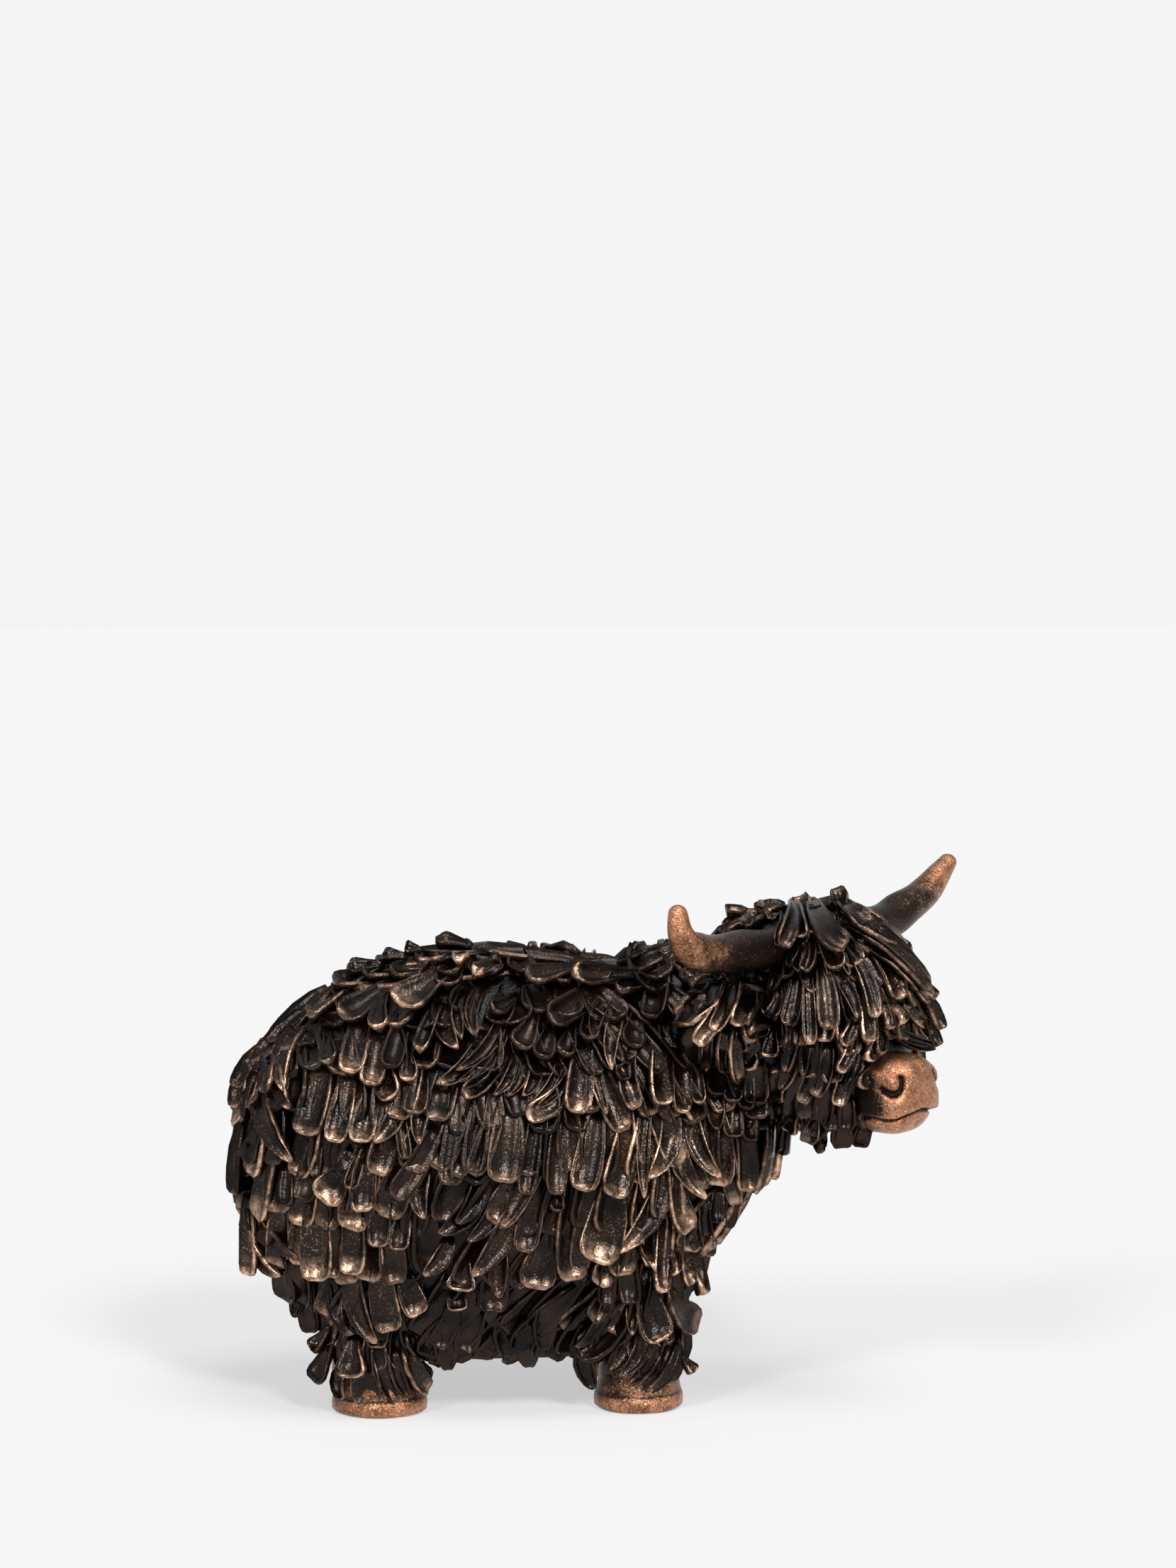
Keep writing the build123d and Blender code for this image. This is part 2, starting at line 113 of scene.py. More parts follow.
sight = Vector((-sin(CAMERA_TURN), cos(CAMERA_TURN), 0))
beside = Vector((sight.y, -sight.x, 0))
lens = bpy.data.cameras.new("photo_camera")
lens.lens = LENS
camera = bpy.data.objects.new("photo_camera", lens)
camera.location = standing + beside * CAMERA_SIDE - sight * CAMERA_DISTANCE + Vector((0, 0, CAMERA_HEIGHT))
camera.rotation_euler = (pi / 2 - CAMERA_PITCH, 0, CAMERA_TURN)
bpy.context.scene.collection.objects.link(camera)
bpy.context.scene.camera = camera
bpy.context.scene.view_settings.view_transform = "Standard"

bpy.ops.mesh.primitive_plane_add(size=12)
floor = bpy.context.object
floor.name = "table_top"
floor_paint, tree = start_finish("matt_white_laminate")
_, looking = looking_rays(tree)
share = reckoned(tree, "MULTIPLY", looking, SHADOW_LIFT)
matt = add_node(tree, "ShaderNodeBsdfDiffuse", {"Color": srgb(BACKDROP)})
backlit = add_node(tree, "ShaderNodeEmission", {"Color": srgb(BACKDROP), "Strength": 1.0})
laminate = add_node(tree, "ShaderNodeMixShader", {0: share, 1: matt.outputs[0], 2: backlit.outputs[0]})
add_node(tree, "ShaderNodeOutputMaterial", {"Surface": laminate.outputs[0]})
floor.data.materials.append(floor_paint)

world = bpy.data.worlds.new("studio")
world.use_nodes = True
tree = world.node_tree
tree.nodes.clear()
ray, looking = looking_rays(tree)
room = add_node(tree, "ShaderNodeBackground", {"Color": (1, 1, 1, 1), "Strength": ROOM_LIGHT})
# dark metal keeps its contrast, because it mirrors the room dimmer than the camera sees it
mirrored = reckoned(tree, "MULTIPLY_ADD", ray.outputs["Is Glossy Ray"], MIRRORED_ROOM - 1, 1.0)
seen = add_node(tree, "ShaderNodeBackground", {"Color": srgb(BACKDROP), "Strength": mirrored})
sky = add_node(tree, "ShaderNodeMixShader", {0: looking, 1: room.outputs[0], 2: seen.outputs[0]})
add_node(tree, "ShaderNodeOutputWorld", {"Surface": sky.outputs[0]})
bpy.context.scene.world = world

for name, strength, width, aim in (
    ("overhead_softbox", 1.15, 26.0, (-0.20, 0.20, -1.0)),
    ("front_softbox", 1.70, 13.0, (-0.35, 0.80, -0.65)),
    ("side_softbox", 1.10, 13.0, (0.55, 0.80, -0.75)),
):
    lamp = bpy.data.lights.new(name, "SUN")
    lamp.energy = strength
    lamp.angle = radians(width)
    holder = bpy.data.objects.new(name, lamp)
    holder.rotation_euler = Vector(aim).to_track_quat("-Z", "Y").to_euler()
    bpy.context.scene.collection.objects.link(holder)


# The body under the hair: trunk, shoulders with the mane, neck and four legs, one hollow casting in bronze
# powder and resin. Only glimpses of it show between the locks. Sizes are the casting's, in millimetres,
# and a level is its height, the middle of its ring, its half length and its half width.
TRUNK_LEVELS = (
    (15, 1, 43, 27), (29, -1, 51, 34), (35.6, -3, 59, 36.5), (47, -3.5, 62.5, 38), (63, -4, 65.5, 39),
    (80, -4, 65.5, 38), (95, -2, 62, 34), (108, 2.5, 51, 26), (117, 6, 39, 17.5), (122, 10, 25, 8.5),
)
MANE_PLACE = (0.056, 0, 0)
MANE_LEVELS = (
    (22, -16, 9.5, 15.5), (38.5, -16, 14, 21.5), (52, -8.5, 17, 25.5), (60, -3.7, 19.3, 27), (67, -0.8, 21.2, 27.5),
    (82, 1, 20.5, 26.0), (98.5, 1, 19.5, 23.0), (110, -3, 17.5, 19.5), (119, -7, 14, 13), (123.5, -8, 9, 6),
)
LEG_LEVELS = ((9, 0, 9.0, 9.0), (24, 0, 9.8, 9.8), (40, 0, 12, 12))
HOOF_PLACES = ((38.5, -21), (38.5, 21), (-33.0, -21), (-33.0, 21))
SQUARENESS = 2.5


def level_at(levels, height):
    """A form's ring at a height, eased between its levels."""
    for low, high in zip(levels, levels[1:]):
        if height <= high[0] or high is levels[-1]:
            share = max(-0.25, min(1.0, (height - low[0]) / (high[0] - low[0])))
            return [a + share * (b - a) for a, b in zip(low, high)]


@lru_cache(maxsize=None)
def half_ring(levels, height):
    """Half of a form's ring from straight ahead to straight behind, as distances walked and points."""
    _, middle, half_length, half_width = level_at(levels, height)
    walked, points = [0.0], []
    for k in range(91):
        ahead, aside = (copysign(abs(v) ** (2 / SQUARENESS), v) for v in (cos(pi * k / 90), sin(pi * k / 90)))
        points.append((middle + half_length * ahead, half_width * aside))
        if k:
            walked.append(walked[-1] + hypot(points[k][0] - points[k - 1][0], points[k][1] - points[k - 1][1]))
    return walked, points


def on_form(form, height, walk):
    """Point on a form at a height, after walking round it from straight ahead, in metres. Left is plus."""
    place, levels = form
    walked, points = half_ring(levels, round(height, 1))
    way = abs((walk + walked[-1]) % (2 * walked[-1]) - walked[-1])
    back = walk < 0 and (abs(walk) // walked[-1]) % 2 == 0 or walk >= 0 and (walk // walked[-1]) % 2 == 1
    k = min(bisect(walked, way), 90)
    share = (way - walked[k - 1]) / (walked[k] - walked[k - 1])
    x, y = (a + share * (b - a) for a, b in zip(points[k - 1], points[k]))
    return place @ (Vector((x, -y if back else y, height)) * MM)


def ways_on_form(form, height, walk):
    """At a place on a form: the directions up it, round it and straight out of it."""
    up = on_form(form, height + 1.5, walk) - on_form(form, height - 1.5, walk)
    round_it = on_form(form, height, walk + 1.5) - on_form(form, height, walk - 1.5)
    out = round_it.cross(up)
    return up.normalized(), round_it.normalized(), out.normalized()


def closed_mesh(name, rings):
    """A closed mesh through rings of points, capped at both ends."""
    shell = bmesh.new()
    rows = [[shell.verts.new(p) for p in ring] for ring in rings]
    for low, high in zip(rows, rows[1:]):
        for k in range(len(low)):
            j = (k + 1) % len(low)
            shell.faces.new((low[k], low[j], high[j], high[k]))
    for end in (rows[0], rows[-1]):
        shell.faces.new(end)
    for face in shell.faces:
        face.smooth = True
    bmesh.ops.recalc_face_normals(shell, faces=shell.faces)
    mesh = bpy.data.meshes.new(name)
    shell.to_mesh(mesh)
    shell.free()
    made = bpy.data.objects.new(name, mesh)
    bpy.context.scene.collection.objects.link(made)
    return made


def join_meshes(name, parts):
    """Join several meshes into one piece."""
    with bpy.context.temp_override(active_object=parts[0], selected_editable_objects=parts):
        bpy.ops.object.join()
    parts[0].name = name
    return parts[0]


def form_mesh(name, form, rows=28, around=48):
    """The smooth shape of one form."""
    low, high = form[1][0][0], form[1][-1][0]
    rings = []
    for row in range(rows + 1):
        height = low + (high - low) * row / rows
        girth = 2 * half_ring(form[1], round(height, 1))[0][-1]
        rings.append([on_form(form, height, girth * (k / around - 0.5)) for k in range(around)])
    return closed_mesh(name, rings)


def store(made, title, values):
    """Store one value at each point of a mesh."""
    made.data.attributes.new(title, "FLOAT", "POINT").data.foreach_set("value", values)


def skin_of(made):
    """A mesh's surface, for rays and nearest points."""
    polygons = [tuple(p.vertices) for p in made.data.polygons]
    return BVHTree.FromPolygons([v.co.copy() for v in made.data.vertices], polygons)


trunk = (body_place, TRUNK_LEVELS)
mane = (body_place @ Matrix.Translation(MANE_PLACE), MANE_LEVELS)
legs = [(body_place @ Matrix.Translation((x * MM, y * MM, 0)), LEG_LEVELS) for x, y in HOOF_PLACES]

# Cold-cast bronze: bronze powder in resin, stained nearly black, waxed, then rubbed back with wire wool so
# that bare copper shows as hairlines on rims and as caps on tips. The grit of the casting, half a millimetre
# to two, breaks every glint into sparkles, and more sparkles are painted into the colour as painted glints:
# grey on the stain, warm on the copper.


def mapped(tree, value, low, high, to_low=0.0, to_high=1.0):
    """A value mapped from one range to another and kept inside it."""
    ends = {"From Min": low, "From Max": high, "To Min": to_low, "To Max": to_high}
    return add_node(tree, "ShaderNodeMapRange", {"Value": value, **ends}, clamp=True).outputs[0]


def mixed(tree, share, first, second, kind="RGBA"):
    """Two colours or vectors mixed by a share."""
    given = {"Factor": share, "A": first, "B": second}
    return add_node(tree, "ShaderNodeMix", given, data_type=kind).outputs["Result"]


def noise(tree, place, scale, detail, roughness=0.5):
    """Noise over an object's own coordinates."""
    given = {"Vector": place.outputs["Object"], "Scale": scale, "Detail": detail, "Roughness": roughness}
    return add_node(tree, "ShaderNodeTexNoise", given).outputs["Fac"]


def dented(tree, height, strength, depth):
    """A bump map's way out, from a height between 0 and 1 and its depth in metres."""
    given = {"Height": height, "Strength": strength, "Distance": depth}
    return add_node(tree, "ShaderNodeBump", given).outputs[0]


def close_finish(tree, values):
    """End a material with its principled surface."""
    skin = add_node(tree, "ShaderNodeBsdfPrincipled", values)
    add_node(tree, "ShaderNodeOutputMaterial", {"Surface": skin.outputs[0]})


bronze, tree = start_finish("patinated_cold_cast_bronze")
place = add_node(tree, "ShaderNodeTexCoord")
across, unit, rub, deep = (
    add_node(tree, "ShaderNodeAttribute", attribute_name=title) for title in ("across", "unit", "rub", "deep")
)
rub = rub.outputs["Fac"]
along = add_node(tree, "ShaderNodeSeparateXYZ", {0: unit.outputs["Vector"]}).outputs["X"]
mottle = noise(tree, place, 420.0, 4.0, 0.65)
patch = noise(tree, place, 90.0, 3.0)
grit = noise(tree, place, 1500.0, 2.0, 0.6)
# the tip's last tenth is rubbed bare, and more of it where the lock stands in the way of hands
light = mapped(tree, rub, 0.15, 0.75)
cap = reckoned(tree, "MULTIPLY", mapped(tree, along, 0.86, 0.985), light)
broad = reckoned(tree, "MULTIPLY", mapped(tree, along, 0.72, 0.98, 0.0, 0.85), mapped(tree, rub, 0.62, 0.95))
cap = reckoned(tree, "MAXIMUM", cap, broad)
# the rims' crests are rubbed in a broken line a third of a millimetre wide, less near the root
rim_zone = mapped(tree, reckoned(tree, "ABSOLUTE", across.outputs["Fac"]), 0.84, 0.92)
rim_rub = reckoned(tree, "MULTIPLY", rim_zone, mapped(tree, along, 0.2, 0.6, 0.0, 0.9))
rim_rub = reckoned(tree, "MULTIPLY", rim_rub, light)
rim_rub = reckoned(tree, "MULTIPLY", rim_rub, mapped(tree, patch, 0.38, 0.56, 0.15, 1.3))
wear = reckoned(tree, "MAXIMUM", cap, rim_rub)
worn = reckoned(tree, "MULTIPLY", wear, mapped(tree, mottle, 0.36, 0.60, 0.15, 1.15), use_clamp=True)
# stain lies in clouds, and thick and black in the hollows under the locks
cloudy = mapped(tree, patch, 0.35, 0.65)
dark = mixed(tree, cloudy, srgb("#100a07"), srgb("#32241a"))
dark = mixed(tree, deep.outputs["Fac"], dark, srgb("#070504"))
# the wire wool also bares single grains all over a lock that is rubbed at all; their grey is partly a painted glint, a
# painted highlight mixed into the colour
grain = reckoned(tree, "MULTIPLY", mapped(tree, grit, 0.59, 0.65), mapped(tree, rub, 0.1, 0.9, 0.0, 0.9))
grain = reckoned(tree, "MULTIPLY", grain, cloudy)
dark = mixed(tree, grain, dark, srgb("#94877a"))
tint = mixed(tree, worn, dark, mixed(tree, mottle, srgb("#b87c55"), srgb("#ffdcc0")))
# waxed stain is glossier than what the wool has scratched
frost = reckoned(tree, "MAXIMUM", worn, grain)
gloss = reckoned(tree, "MULTIPLY_ADD", frost, 0.12, mapped(tree, mottle, 0.3, 0.7, 0.16, 0.27))
dents = dented(tree, reckoned(tree, "ADD", mottle, grit), 0.24, 0.0005)
close_finish(
    tree,
    {
        "Base Color": tint,
        "Metallic": mapped(tree, worn, 0.0, 1.0, 0.8, 1.0),
        "Roughness": gloss,
        "Normal": dents,
        "Coat Weight": 0.15,
        "Coat Roughness": 0.14,
        "Coat Normal": dents,
    },
)

NECK_RISE, NECK_TURN = radians(16), radians(-23)
NECK_AXIS = Vector((cos(NECK_RISE) * cos(NECK_TURN), cos(NECK_RISE) * sin(NECK_TURN), sin(NECK_RISE)))
NECK_JOINT = Vector((74, -7, 100))
neck_turn = NECK_AXIS.to_track_quat("Z", "Y").to_matrix()
neck_rings = [
    [
        body_place
        @ ((NECK_JOINT + NECK_AXIS * reach + neck_turn @ Vector((cos(k * pi / 18), sin(k * pi / 18), 0)) * radius) * MM)
        for k in range(36)
    ]
    for reach, radius in ((-20, 21), (-10, 19), (0, 18.5), (12, 18.5))
]
body_core = join_meshes(
    "body_core",
    [form_mesh("trunk_form", trunk), form_mesh("mane_form", mane), closed_mesh("neck_form", neck_rings)]
    + [form_mesh(f"leg_form_{k}", leg, rows=6, around=32) for k, leg in enumerate(legs)],
)
store(body_core, "deep", [1.0] * len(body_core.data.vertices))
body_core.data.materials.append(bronze)
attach(body_core, "root")
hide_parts("torso_casting")
body_skin = skin_of(body_core)


# The coat: over a thousand carved locks. Each is a dished leaf with a thin raised rim, sunk in the body at
# its narrow root, and it curls out to a thick lip at its tip. Three leaves are drawn here, a straight tongue,
# a round-ended spoon and a pointed sickle, and a node tree lays one over every seat along the seat's curve.
LEAF_SECTION = (
    (-1.0, 0.35), (-0.88, 1.0), (-0.62, 0.42), (0.0, 0.2), (0.62, 0.42), (0.88, 1.0), (1.0, 0.35), (0.0, -0.5),
)
# a station: how far along the leaf, its half width, how deep its face is dished and how high it stands
LEAF_STATIONS = {
    "tongue": (
        (0.0, 0.55, 0.2, 0.6), (0.2, 0.75, 0.7, 0.9), (0.45, 0.92, 1.0, 1.0), (0.7, 1.0, 1.0, 1.0),
        (0.85, 0.98, 1.0, 1.05), (0.94, 0.82, 0.5, 1.1), (0.985, 0.52, 0.1, 0.95), (1.0, 0.22, 0.0, 0.35),
    ),
    "spoon": (
        (0.0, 0.35, 0.2, 0.6), (0.2, 0.42, 0.6, 0.9), (0.45, 0.58, 0.9, 1.0), (0.65, 0.85, 1.0, 1.0),
        (0.8, 1.0, 1.0, 1.05), (0.91, 0.88, 0.6, 1.1), (0.975, 0.58, 0.1, 1.0), (1.0, 0.25, 0.0, 0.35),
    ),
    "sickle": (
        (0.0, 0.5, 0.2, 0.6), (0.2, 0.85, 0.7, 0.9), (0.42, 1.0, 1.0, 1.0), (0.62, 0.92, 1.0, 1.0),
        (0.8, 0.7, 0.9, 1.0), (0.91, 0.45, 0.6, 0.9), (0.97, 0.25, 0.2, 0.7), (1.0, 0.08, 0.0, 0.3),
    ),
}
TONGUE, SPOON, SICKLE = range(3)


def leaf_mesh(name, stations):
    """One leaf, with x from root to tip, y across in half widths and z out in thicknesses."""
    points, sides, faces = [], [], []
    for reach, width, dish, rise in stations:
        for across_it, out in LEAF_SECTION:
            inner = abs(across_it) < 0.9 and out > 0
            points.append((reach, across_it * width, rise * (1 - dish * (1 - out)) if inner else out * max(rise, 0.5)))
            sides.append(across_it)
    count = len(LEAF_SECTION)
    for row in range(len(stations) - 1):
        for k in range(count):
            j = (k + 1) % count
            faces.append((row * count + k, (row + 1) * count + k, (row + 1) * count + j, row * count + j))
    faces.append(tuple(range(count)))
    faces.append(tuple(reversed(range((len(stations) - 1) * count, len(stations) * count))))
    mesh = bpy.data.meshes.new(name)
    mesh.from_pydata(points, [], faces)
    mesh.polygons.foreach_set("use_smooth", [True] * len(mesh.polygons))
    mesh.attributes.new("unit", "FLOAT_VECTOR", "POINT").data.foreach_set("vector", [c for p in points for c in p])
    mesh.attributes.new("across", "FLOAT", "POINT").data.foreach_set("value", sides)
    return mesh


leaves = {title: bpy.data.objects.new(title, leaf_mesh(title, rows)) for title, rows in LEAF_STATIONS.items()}

lay = bpy.data.node_groups.new("lay_locks", "GeometryNodeTree")
lay.interface.new_socket("Seats", in_out="INPUT", socket_type="NodeSocketGeometry")
for title in leaves:
    lay.interface.new_socket(title, in_out="INPUT", socket_type="NodeSocketObject")
lay.interface.new_socket("Finish", in_out="INPUT", socket_type="NodeSocketMaterial")
lay.interface.new_socket("Locks", in_out="OUTPUT", socket_type="NodeSocketGeometry")
given = add_node(lay, "NodeGroupInput")
read = {
    title: add_node(lay, "GeometryNodeInputNamedAttribute", {"Name": title}, data_type=kind).outputs["Attribute"]
    for kind, titles in (
        ("FLOAT_VECTOR", ("root", "middle", "tip", "outward", "unit")),
        ("FLOAT", ("half_width", "thickness", "kind")),
    )
    for title in titles
}
all_leaves = add_node(lay, "GeometryNodeJoinGeometry")
for index, title in enumerate(leaves):
    shape = add_node(lay, "GeometryNodeObjectInfo", {"Object": given.outputs[title]})
    asked = {"A": read["kind"], "B": float(index), "Epsilon": 0.1}
    wanted = add_node(lay, "FunctionNodeCompare", asked, data_type="FLOAT", operation="EQUAL")
    laid = {"Points": given.outputs["Seats"], "Selection": wanted.outputs[0], "Instance": shape.outputs["Geometry"]}
    spread = add_node(lay, "GeometryNodeInstanceOnPoints", laid)
    lay.links.new(spread.outputs[0], all_leaves.inputs[0])
loose = add_node(lay, "GeometryNodeRealizeInstances", {"Geometry": all_leaves.outputs[0]})
reach, sideways, upward = add_node(lay, "ShaderNodeSeparateXYZ", {0: read["unit"]}).outputs


def vectors(operation, *values, **named):
    """The result of a vector operation in the tree that lays the locks."""
    given = {**dict(enumerate(values)), **named}
    return add_node(lay, "ShaderNodeVectorMath", given, operation=operation).outputs[0]


near = mixed(lay, reach, read["root"], read["middle"], "VECTOR")
far = mixed(lay, reach, read["middle"], read["tip"], "VECTOR")
onward = vectors("SUBTRACT", far, near)
aside = vectors("NORMALIZE", vectors("CROSS_PRODUCT", read["outward"], onward))
facing = vectors("NORMALIZE", vectors("CROSS_PRODUCT", onward, aside))
wide = vectors("SCALE", aside, Scale=reckoned(lay, "MULTIPLY", sideways, read["half_width"]))
thick = vectors("SCALE", facing, Scale=reckoned(lay, "MULTIPLY", upward, read["thickness"]))
moved = vectors("ADD", vectors("ADD", mixed(lay, reach, near, far, "VECTOR"), wide), thick)
bent = add_node(lay, "GeometryNodeSetPosition", {"Geometry": loose.outputs[0], "Position": moved})
coated = add_node(lay, "GeometryNodeSetMaterial", {"Geometry": bent.outputs[0], "Material": given.outputs["Finish"]})
add_node(lay, "NodeGroupOutput", {"Locks": coated.outputs[0]})

wobble = random.Random(7)


def seat(root, waist, tip, out, width, thickness, rub, kind, roll):
    """One lock's seat: the curve it follows through its waist, the way it faces and its size."""
    control = waist * 2 - (root + tip) / 2
    out = Matrix.Rotation(radians(roll), 3, (tip - root).normalized()) @ out
    return root, control, tip, out, width / 2 * MM, thickness * MM, rub, kind


def hang(form, tip_height, tip_walk, length, lean, width, lift, bow, rub, kind, roll, thickness):
    """A lock that hangs on a form from a tip's place. It leans round towards the back by an angle."""
    places = [(tip_height, tip_walk)]
    top = form[1][-1][0]
    side = copysign(1, tip_walk)
    for _ in range(4):
        height, walk = places[-1]
        up = ways_on_form(form, height, walk)[0]
        climb = length / 4 * cos(radians(lean)) * max(0.35, up.z)
        places.append((min(height + climb, top), walk - side * length / 4 * sin(radians(lean))))
    ends = []
    for (height, walk), away in zip((places[4], places[2], places[0]), lift):
        ends.append(on_form(form, height, walk) + ways_on_form(form, height, walk)[2] * away * MM)
    _, round_it, out = ways_on_form(form, *places[2])
    ends[1] += round_it * side * bow * length * MM
    return seat(*ends, out, width, thickness, rub, kind, roll * side)


# The lie of the coat on the cow's side. A mark is a place, ahead and up in millimetres, and the degrees by
# which locks there lean to the tail, then a place and how much the locks there are rubbed.
LEAN_MARKS = (
    (-11, 79, 17), (-21, 78, 32), (0, 76, 5), (16, 74, 6), (-13, 59.5, 32), (-4, 52, 28), (10, 52, 15), (19, 50, 6),
    (-40, 102, 9), (-46, 86, 18), (-61, 86, 5), (-50, 48, -1), (-36, 37, -20), (-29, 37, -13), (-21, 65, 30),
    (29, 70, 8), (51, 71, -20), (37, 60, 28), (48, 56, -11), (43, 45, -8), (-29, 110, 57), (-2, 117, 70),
    (-11, 98, 38), (10, 93, 35), (35, 106, 15), (27, 113, 50), (33, 87, 5), (44, 79, -5),
)
RUB_MARKS = (
    (45, 65, 1.0), (40, 50, 0.9), (-50, 45, 0.9), (-60, 35, 0.9), (-40, 100, 0.6), (-30, 38, 0.6), (0, 55, 0.4),
    (20, 52, 0.6), (0, 76, 0.15), (-10, 62, 0.2), (10, 95, 0.1), (-10, 115, 0.2), (40, 105, 0.1), (-62, 90, 0.4),
    (-30, 15, 0.1), (0, 15, 0.1), (35, 15, 0.1),
)


def read_marks(marks, point):
    """The value of a set of marks at a point of the casting, weighed by nearness."""
    x, z = (point.x - standing.x) / MM, point.z / MM
    weights = [1 / (25 + (x - m[0]) ** 2 + (z - m[1]) ** 2) ** 1.5 for m in marks]
    return sum(w * m[2] for w, m in zip(weights, marks)) / sum(weights)


# Where a ring of locks may begin and end: a tenth of a millimetre from straight ahead and straight behind.
AHEAD, BEHIND = 0.1, -0.1
# A place is out of the camera's sight when its way out turns from it, and locks there stand a little higher.
TURNED_AWAY = -0.03
UNSEEN_RISE = 2.2


def tier(
    form, tip_height, first, last, spacing, length, width, lift,
    kinds=(TONGUE, TONGUE, TONGUE, TONGUE, SPOON, SICKLE), marked=True, shy=0.0, unseen=False,
):
    """One ring of locks between two distances walked round a form, on both its sides, each a little off.

    A last distance below nothing counts from straight behind. Marked locks lie and are rubbed as the marks say.
    An unseen ring leaves out what faces the camera, where the photograph's own locks are laid."""
    seats = []
    for side in (-1, 1):
        reach = last if last > 0 else half_ring(form[1], round(tip_height, 1))[0][-1] + last
        count = max(1, round((reach - first) / spacing))
        for k in range(count):
            walk = side * (first + (reach - first) * (k + 0.5) / count + wobble.uniform(-0.22, 0.22) * spacing)
            height = tip_height + wobble.uniform(-2.6, 2.6)
            _, _, out = ways_on_form(form, height, walk)
            if unseen and out.dot(sight) < TURNED_AWAY:
                continue
            rise = UNSEEN_RISE * min(1.0, max(0.0, 2 * out.dot(sight))) if unseen else 0.0
            point = on_form(form, height, walk)
            lean = read_marks(LEAN_MARKS, point) * min(1, abs(out.y) * 1.3) if marked else 0
            rub = read_marks(RUB_MARKS, point) if marked else 0.25
            kind = wobble.choice(kinds)
            bow = wobble.uniform(-0.05, 0.09) * (2.0 if kind == SICKLE else 1.0)
            own_length = length * wobble.uniform(0.88, 1.12)
            lean += wobble.uniform(-8, 8)
            own_width = width * wobble.uniform(0.82, 1.18)
            lifts = [a + rise * b + wobble.uniform(-0.5, 0.6) for a, b in zip(lift, (0.3, 1, 1))]
            rub = max(0.0, min(1.0, rub + wobble.uniform(-0.3, 0.35) - shy))
            roll, thickness = wobble.uniform(-16, 22), wobble.uniform(2.1, 2.9)
            seats.append(hang(form, height, walk, own_length, lean, own_width, lifts, bow, rub, kind, roll, thickness))
    return seats


# Where the photograph shows a lock, it is laid on the body along the camera's line of sight.
PHOTO_SIZE = (1659, 2212)
FOCAL = LENS / 36 * PHOTO_SIZE[1]
PIXELS_PER_MM = 5.25
RIM_ALLOWANCE = 1.36
ROOT_REACH = 0.16
SEEN_LIFTS = (-1.8, 0.6, 2.8)
LAYER_RISE = 1.1


def seen_place(skin, view, place, lift):
    """Where the camera's line through a place in an enlarged view meets a form, lifted off it along that line.

    A line that passes the form gives its point nearest to the form. The way out comes turned a little to the eye."""
    left, top, zoom = view
    x, y = left + place[0] / zoom, top + place[1] / zoom
    line = Vector(((x - PHOTO_SIZE[0] / 2) / FOCAL, (PHOTO_SIZE[1] / 2 - y) / FOCAL, -1))
    line = (camera.rotation_euler.to_matrix() @ line).normalized()
    spot, out, _, far_off = skin.ray_cast(camera.location, line)
    before, before_out, _, nearer = body_skin.ray_cast(camera.location, line)
    if before and nearer < (far_off or CAMERA_DISTANCE):
        spot, out = before, before_out
    if spot is None:
        spot = camera.location + line * CAMERA_DISTANCE
        for _ in range(4):
            beside_it, out, _, _ = skin.find_nearest(spot)
            spot = camera.location + line * (beside_it - camera.location).dot(line)
    else:
        spot = spot - line * lift * MM / max(0.35, -out.dot(line))
    return spot, (out - line * 0.4).normalized()


def seen_locks(skin, view, marks, breadth=1.0, reach=ROOT_REACH):
    """Locks laid where an enlarged view of the photograph shows them, each turned a little.

    A mark is a root and a tip in the view, a width, how far the middle is pushed aside as a share of the length,
    a layer, a kind of leaf and how far it is rubbed. A root is drawn out by a reach, to lie under other locks."""
    seats = []
    for rx, ry, tx, ty, width, bow, layer, kind, rub in marks:
        rx, ry = rx - (tx - rx) * reach, ry - (ty - ry) * reach
        middle = ((rx + tx) / 2 + (ty - ry) * bow, (ry + ty) / 2 - (tx - rx) * bow)
        root, waist, tip = (
            seen_place(skin, view, place, away + LAYER_RISE * layer)
            for place, away in zip(((rx, ry), middle, (tx, ty)), SEEN_LIFTS)
        )
        width_mm = RIM_ALLOWANCE * breadth * width / view[2] / PIXELS_PER_MM
        seats.append(seat(root[0], waist[0], tip[0], waist[1], width_mm, 2.5, rub, kind, wobble.uniform(-14, 14)))
    return seats


def coat(name, seats):
    """Lay the locks over their seats and keep the result as a plain mesh."""
    mesh = bpy.data.meshes.new(f"{name}_seats")
    mesh.from_pydata([s[0] for s in seats], [], [])
    for index, title in enumerate(("root", "middle", "tip", "outward")):
        values = [c for s in seats for c in s[index]]
        mesh.attributes.new(title, "FLOAT_VECTOR", "POINT").data.foreach_set("vector", values)
    for index, title in enumerate(("half_width", "thickness", "rub", "kind"), start=4):
        mesh.attributes.new(title, "FLOAT", "POINT").data.foreach_set("value", [s[index] for s in seats])
    holder = bpy.data.objects.new(f"{name}_seats", mesh)
    bpy.context.scene.collection.objects.link(holder)
    laid = holder.modifiers.new("lay_locks", "NODES")
    laid.node_group = lay
    for item in lay.interface.items_tree:
        if item.name in leaves:
            laid[item.identifier] = leaves[item.name]
        if item.name == "Finish":
            laid[item.identifier] = bronze
    plain = bpy.data.meshes.new_from_object(holder.evaluated_get(bpy.context.evaluated_depsgraph_get()))
    bpy.data.objects.remove(holder)
    made = bpy.data.objects.new(name, plain)
    bpy.context.scene.collection.objects.link(made)
    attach(made, "root")
    return made
